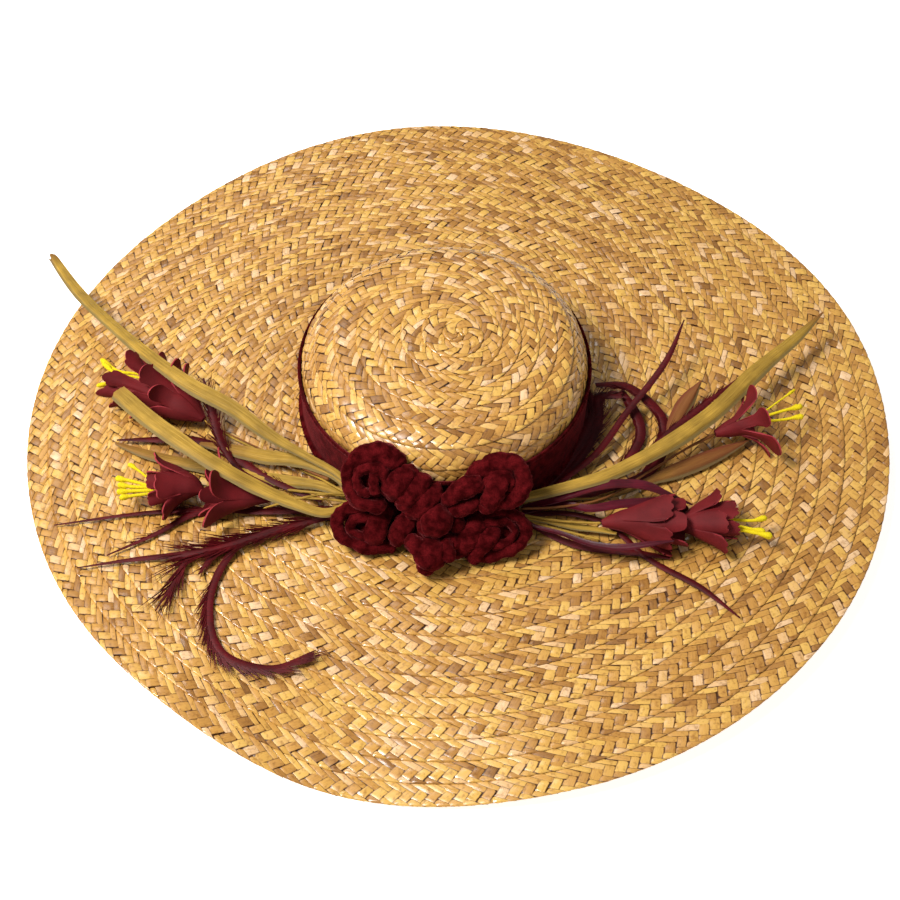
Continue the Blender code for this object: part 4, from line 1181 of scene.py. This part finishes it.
FEATHERS = {
    # per side its strips: fringe in mm, barbs per mm, first and last share of the fringe, and its sides,
    # then rows of x, y, z, width
    "left": (
        (7, 0.7, 0.1, 0.6, (-1, 1),
         ((-60, -87, 15.5, 4), (-125, -88, 14.5, 4), (-185, -91, 13.8, 3), (-244, -102, 13.6, 0.8))),
        (9, 0.5, 0.2, 0.9, (1,),
         ((-60, -88, 15.5, 4), (-117, -90, 15, 4), (-156, -90, 14.2, 5), (-181, -108, 13.8, 3),
          (-208, -125, 13.6, 0.8))),
        (20, 0.8, 0.15, 0.62, (-1, 1),
         ((-60, -89, 16, 5), (-111, -106, 16, 8), (-145, -120, 15.5, 8), (-196, -129, 14.2, 4),
          (-224, -135, 13.8, 0.8))),
        (24, 0.55, 0.25, 0.88, (-1, 1),
         ((-100, -104, 16.2, 4), (-122, -112, 15.6, 5), (-145, -118, 14.8, 5), (-158, -126, 14.2, 5),
          (-165, -145, 13.9, 4), (-173, -166, 13.8, 0.8))),
        (15, 1.8, 0.38, 0.97, (1,),
         ((-100, -100, 16.5, 3), (-116, -107, 16, 4), (-128, -115, 15.2, 6), (-137, -130, 14.4, 7),
          (-142, -162, 14, 7), (-131, -193, 13.9, 8), (-103, -200, 13.9, 6), (-78, -187, 13.8, 0.8))),
        (8, 0.7, 0.3, 0.95, (-1, 1),
         ((-104, -103, 16.4, 2), (-123, -111, 15.4, 3), (-136, -119, 15, 4), (-144, -125, 14.6, 4),
          (-151, -138, 13.9, 1))),
        (13, 1, 0.35, 0.92, (-1, 1),
         ((-112, -72, 17, 2), (-133, -60, 18, 3), (-146, -42, 20, 5), (-154, -20, 24, 5.5),
          (-162, 6, 30, 1))),
        (6, 0.6, 0.2, 0.7, (1,),
         ((-80, -84, 19, 3), (-94, -78, 19, 4), (-127, -57, 17, 5), (-148, -41, 16.6, 6),
          (-168, -34, 16.2, 6), (-187, -34, 15.8, 5), (-215, -35, 15.4, 1))),
    ),
    "right": (
        (3, 0.5, 0.4, 0.9, (1,),
         ((45, -88, 15.5, 4), (72, -64, 17, 4), (90, -49, 20, 4.5), (114, -15, 24, 4.5),
          (143, 24, 34, 4), (155, 51, 40, 0.8))),
        (13, 0.9, 0.45, 0.97, (-1,),
         ((45, -90, 15.5, 4), (94, -72, 15, 5), (127, -55, 14.8, 7), (138, -31, 15.6, 7.5),
          (137, -14, 18, 7), (129, -4, 22, 7), (115, 5, 26, 7), (94, 3, 30, 3))),
        (10, 0.9, 0.4, 0.97, (-1,),
         ((45, -90, 15.2, 4), (88, -72, 14.8, 4), (114, -46, 14.8, 6), (123, -23, 16.5, 7),
          (119, -9, 19.5, 7), (112, 5, 22, 3))),
        (12, 1, 0.30, 0.95, (-1, 1),
         ((45, -87, 15.3, 4), (66, -68, 15.4, 6), (88, -35, 17, 8), (95, -18, 20, 8), (97, -2, 24, 7),
          (111, -4, 26, 3))),
        (3, 0.4, 0.2, 0.9, (1,),
         ((45, -92, 16, 4), (71, -90, 16, 4), (93, -95, 15, 4), (121, -123, 14.2, 4), (152, -145, 14, 4),
          (171, -165, 13.8, 0.8))),
        (4, 0.5, 0.3, 0.9, (1,),
         ((45, -95, 15, 4), (75, -112, 14.5, 5), (113, -118, 14.2, 5), (134, -122, 14, 2))),
        (7, 0.8, 0.3, 0.9, (-1, 1),
         ((98, -62, 19, 3), (120, -51, 22, 4), (137, -35, 24.5, 5), (161, -14, 27, 4.5),
          (188, 9, 29, 0.8))),
        (12, 1, 0.3, 0.95, (-1, 1),
         ((50, -84, 15, 4), (69, -57, 16, 6), (83, -34, 18, 8), (90, -19, 20, 8), (97, -2, 22, 6),
          (112, 1, 24, 2))),
    ),
}
GLOSSY_STRIPS = {
    # strips with no fringe: rows of x, y, z, width
    "right": (
        ((45, -91, 22, 4), (67, -87, 26.5, 6), (85, -81, 29, 7), (105, -78, 30, 7), (122, -80, 30, 7),
         (132, -84, 28.5, 5), (149, -90, 25, 1)),
        ((45, -92, 19.5, 4), (67, -89, 23, 5), (87, -93, 24.5, 6), (104, -90, 25, 7), (120, -88, 25, 6),
         (132, -83, 24, 1)),
        ((45, -97, 20, 3), (49, -103, 22, 3), (67, -111, 24, 3.5), (85, -120, 25.5, 4.5),
         (104, -124, 28, 5), (119, -123, 30, 4), (134, -121, 31, 0.8)),
    ),
}
STRIP_STEPS = 72
STRIP_SHEET = 0.35          # thickness of a strip in mm
LONG_FRINGE = 14            # a fringe longer than this, in mm, leaves its strip narrower


def add_fringe(shapes, strip, look, rng):
    """Fine barbs that leave the strip's edges at a slant."""
    longest, density, first, last, sides = look
    points, side, upward, half = strip
    length = np.linalg.norm(np.diff(points, axis=0), axis=1).sum() / MM
    rows = len(points)
    direction = unit(np.gradient(points, axis=0))
    share = np.array([0.0, 0.5, 1.0])[:, None]
    thick = np.array([1.0, 0.85, 0.12]) * (0.17 + 0.013 * longest) * MM
    for way in sides:
        for place in np.sort(rng.uniform(first, last, int((last - first) * length * density))):
            at = min(int(place * (rows - 1)), rows - 2)
            slant = math.radians(rng.uniform(9, 28))
            heading = unit(direction[at] * math.cos(slant) + side[at] * way * math.sin(slant)
                           + upward[at] * rng.uniform(-0.03, 0.10))
            barb = longest * rng.uniform(0.45, 1.1) * MM
            start = points[at] + side[at] * way * half[at] * rng.uniform(0.55, 0.95)
            curl = direction[at] * 0.10 * share ** 2
            line = start + heading * barb * share + (curl + upward[at] * 0.03 * share) * barb
            shapes.tube(roll_rings(line, thick, thick * 0.7, upward[at], 3))


def add_strip(shapes, rows, narrowed, cup):
    """Adds a strip cupped by a share of its half width, and returns its line with what lies across it."""
    line = smooth_rows(rows, STRIP_STEPS)
    points = on_brim(line[:, :3])
    _direction, side, upward = frames_along(points)
    half = np.clip(line[:, 3], 0.5, None) / 2 * narrowed * MM
    across = np.linspace(-1, 1, 7)[None, :]
    cupped = cup * half[:, None] * across ** 2 + 0.00012 * np.sin(across * 9)
    grid = (points[:, None] + side[:, None] * (across * half[:, None])[..., None]
            + upward[:, None] * cupped[..., None])
    shapes.slab(grid, STRIP_SHEET * MM)
    return points, side, upward, half


def make_feathers(feather, glossy):
    """Narrow strips with a fold along their middle and fringed edges, and glossy ones without a fringe."""
    for way, strips in FEATHERS.items():
        rng = np.random.default_rng([SEED, len(way)])
        shapes = Shapes()
        for *look, rows in strips:
            strip = add_strip(shapes, rows, 0.65 if look[0] > LONG_FRINGE else 0.95, -0.30)
            add_fringe(shapes, strip, look, rng)
        shapes.build("feather_strips_" + way, [feather], "feather", "feathers_" + way)
    for way, strips in GLOSSY_STRIPS.items():
        shapes = Shapes()
        for rows in strips:
            add_strip(shapes, rows, 0.95, 0.28)
        shapes.build("glossy_strips_" + way, [glossy], "feather", "feathers_" + way)


# Camera, floor and light

CAMERA_PLACE = Vector((-0.0006, -0.6182, 0.7612))
CAMERA_RIGHT = Vector((0.99998, 0.00512, 0.00397))
CAMERA_UP = Vector((-0.00648, 0.79070, 0.61216))
CAMERA_LENS = 58.79         # mm, for a sensor 36 mm wide


def make_camera():
    data = bpy.data.cameras.new("camera")
    data.lens = CAMERA_LENS
    data.sensor_width = 36.0
    data.clip_start = 0.01
    camera = bpy.data.objects.new("camera", data)
    bpy.context.scene.collection.objects.link(camera)
    back = CAMERA_RIGHT.cross(CAMERA_UP).normalized()
    right = CAMERA_UP.cross(back).normalized()
    up = back.cross(right)
    turn = Matrix((right, up, back)).transposed().to_4x4()
    camera.matrix_world = Matrix.Translation(CAMERA_PLACE) @ turn
    bpy.context.scene.camera = camera


def add_light(name, place, aim, size, power, colour):
    data = bpy.data.lights.new(name, "AREA")
    data.shape = "RECTANGLE"
    data.size, data.size_y = size
    data.energy = power
    data.color = colour
    light = bpy.data.objects.new(name, data)
    light.location = place
    light.rotation_euler = (Vector(aim) - Vector(place)).to_track_quat("-Z", "Y").to_euler()
    bpy.context.scene.collection.objects.link(light)


def make_stage():
    mesh = bpy.data.meshes.new("floor")
    half = 6.0
    corners = [(-half, -half, 0), (half, -half, 0), (half, half, 0), (-half, half, 0)]
    mesh.from_pydata(corners, [], [(0, 1, 2, 3)])
    floor = bpy.data.objects.new("floor", mesh)
    floor.location.z = -0.0003
    bpy.context.scene.collection.objects.link(floor)
    finish = Finish("floor")
    finish.shader(Base_Color=(0.93, 0.93, 0.93, 1), Roughness=0.9, Emission_Color=(1, 1, 1, 1),
                  Emission_Strength=0.75)
    mesh.materials.append(finish.material)
    world = bpy.data.worlds.new("studio")
    world.use_nodes = True
    background = world.node_tree.nodes["Background"]
    background.inputs["Color"].default_value = (1.0, 1.0, 1.0, 1)
    background.inputs["Strength"].default_value = 0.20
    bpy.context.scene.world = world
    bpy.context.scene.view_settings.view_transform = "Standard"
    add_light("key", (-0.85, -0.30, 1.45), (0, 0, 0), (0.50, 0.50), 36.5, (1.0, 0.97, 0.94))
    add_light("sheen", (-0.50, 0.95, 1.45), (0, 0, 0), (0.7, 0.5), 6, (1.0, 0.98, 0.95))
    add_light("fill", (1.2, -1.2, 1.3), (0, 0, 0), (1.2, 1.2), 4, (1.0, 0.92, 1.0))


def main():
    make_camera()
    make_stage()
    straw = straw_material("straw", (1.0, 1.0, 1.0))
    below = straw_material("straw_below", (0.86, 0.84, 0.82))
    # the core's material is the straw darkened to about a third, as painted shade for the core between the
    # floats
    shaded_core = straw_material("straw_core", (0.30, 0.24, 0.20))
    velvet = surface(
        "velvet", ((0.30, (0.036, 0.0020, 0.0028)), (0.72, (0.090, 0.0052, 0.0066))), 1600, 1.0,
        patch=(190, 0.45, 1.45), sheen=0.34, specular=0.0)
    leaf_stops = ((0.30, (0.21, 0.118, 0.016)), (0.70, (0.50, 0.305, 0.046)), (0.48, (0.38, 0.228, 0.030)))
    leaf = surface(
        "leaf", leaf_stops, 1.0, 0.6, masks=((0.17, 0.040, 0.015), (0.17, 0.125, 0.045)),
        stretch=(0.06, 4.0, 3.0), patch=(60, 0.80, 1.15), specular=0.25, bump_size=0.00025)
    foam = surface(
        "foam", ((0.35, (0.108, 0.0050, 0.0070)), (0.65, (0.156, 0.0080, 0.0105))), 2600, 0.7,
        patch=(70, 0.80, 1.15), specular=0.22, bump_size=0.00008)
    foam_edge = surface(
        "foam_edge", ((0.35, (0.24, 0.018, 0.024)), (0.65, (0.38, 0.040, 0.048))), 2600, 0.7,
        specular=0.22)
    feather = surface(
        "feather", ((0.30, (0.034, 0.0010, 0.0020)), (0.70, (0.112, 0.0036, 0.0060))), 1.0, 0.55,
        stretch=(0.25, 3.0, 3.0), patch=(60, 0.7, 1.3), specular=0.20, bump_size=0.0001)
    glossy = surface(
        "glossy_feather", ((0.30, (0.035, 0.0012, 0.0055)), (0.70, (0.100, 0.0035, 0.0120))), 1.0, 0.28,
        stretch=(0.15, 3.0, 3.0), patch=(50, 0.7, 1.3), specular=0.45, bump_size=0.00005)
    stamen = surface(
        "stamen", ((0.30, (0.60, 0.43, 0.004)), (0.65, (0.86, 0.72, 0.012))), 1800, 0.8,
        specular=0.2, bump_size=0.0003)
    make_braid(straw, below, shaded_core)
    make_band(velvet)
    make_bow(velvet)
    make_bindings(velvet)
    make_leaves(leaf)
    make_flowers(foam, foam_edge)
    make_stamens(stamen)
    make_stems(leaf)
    make_feathers(feather, glossy)


main()
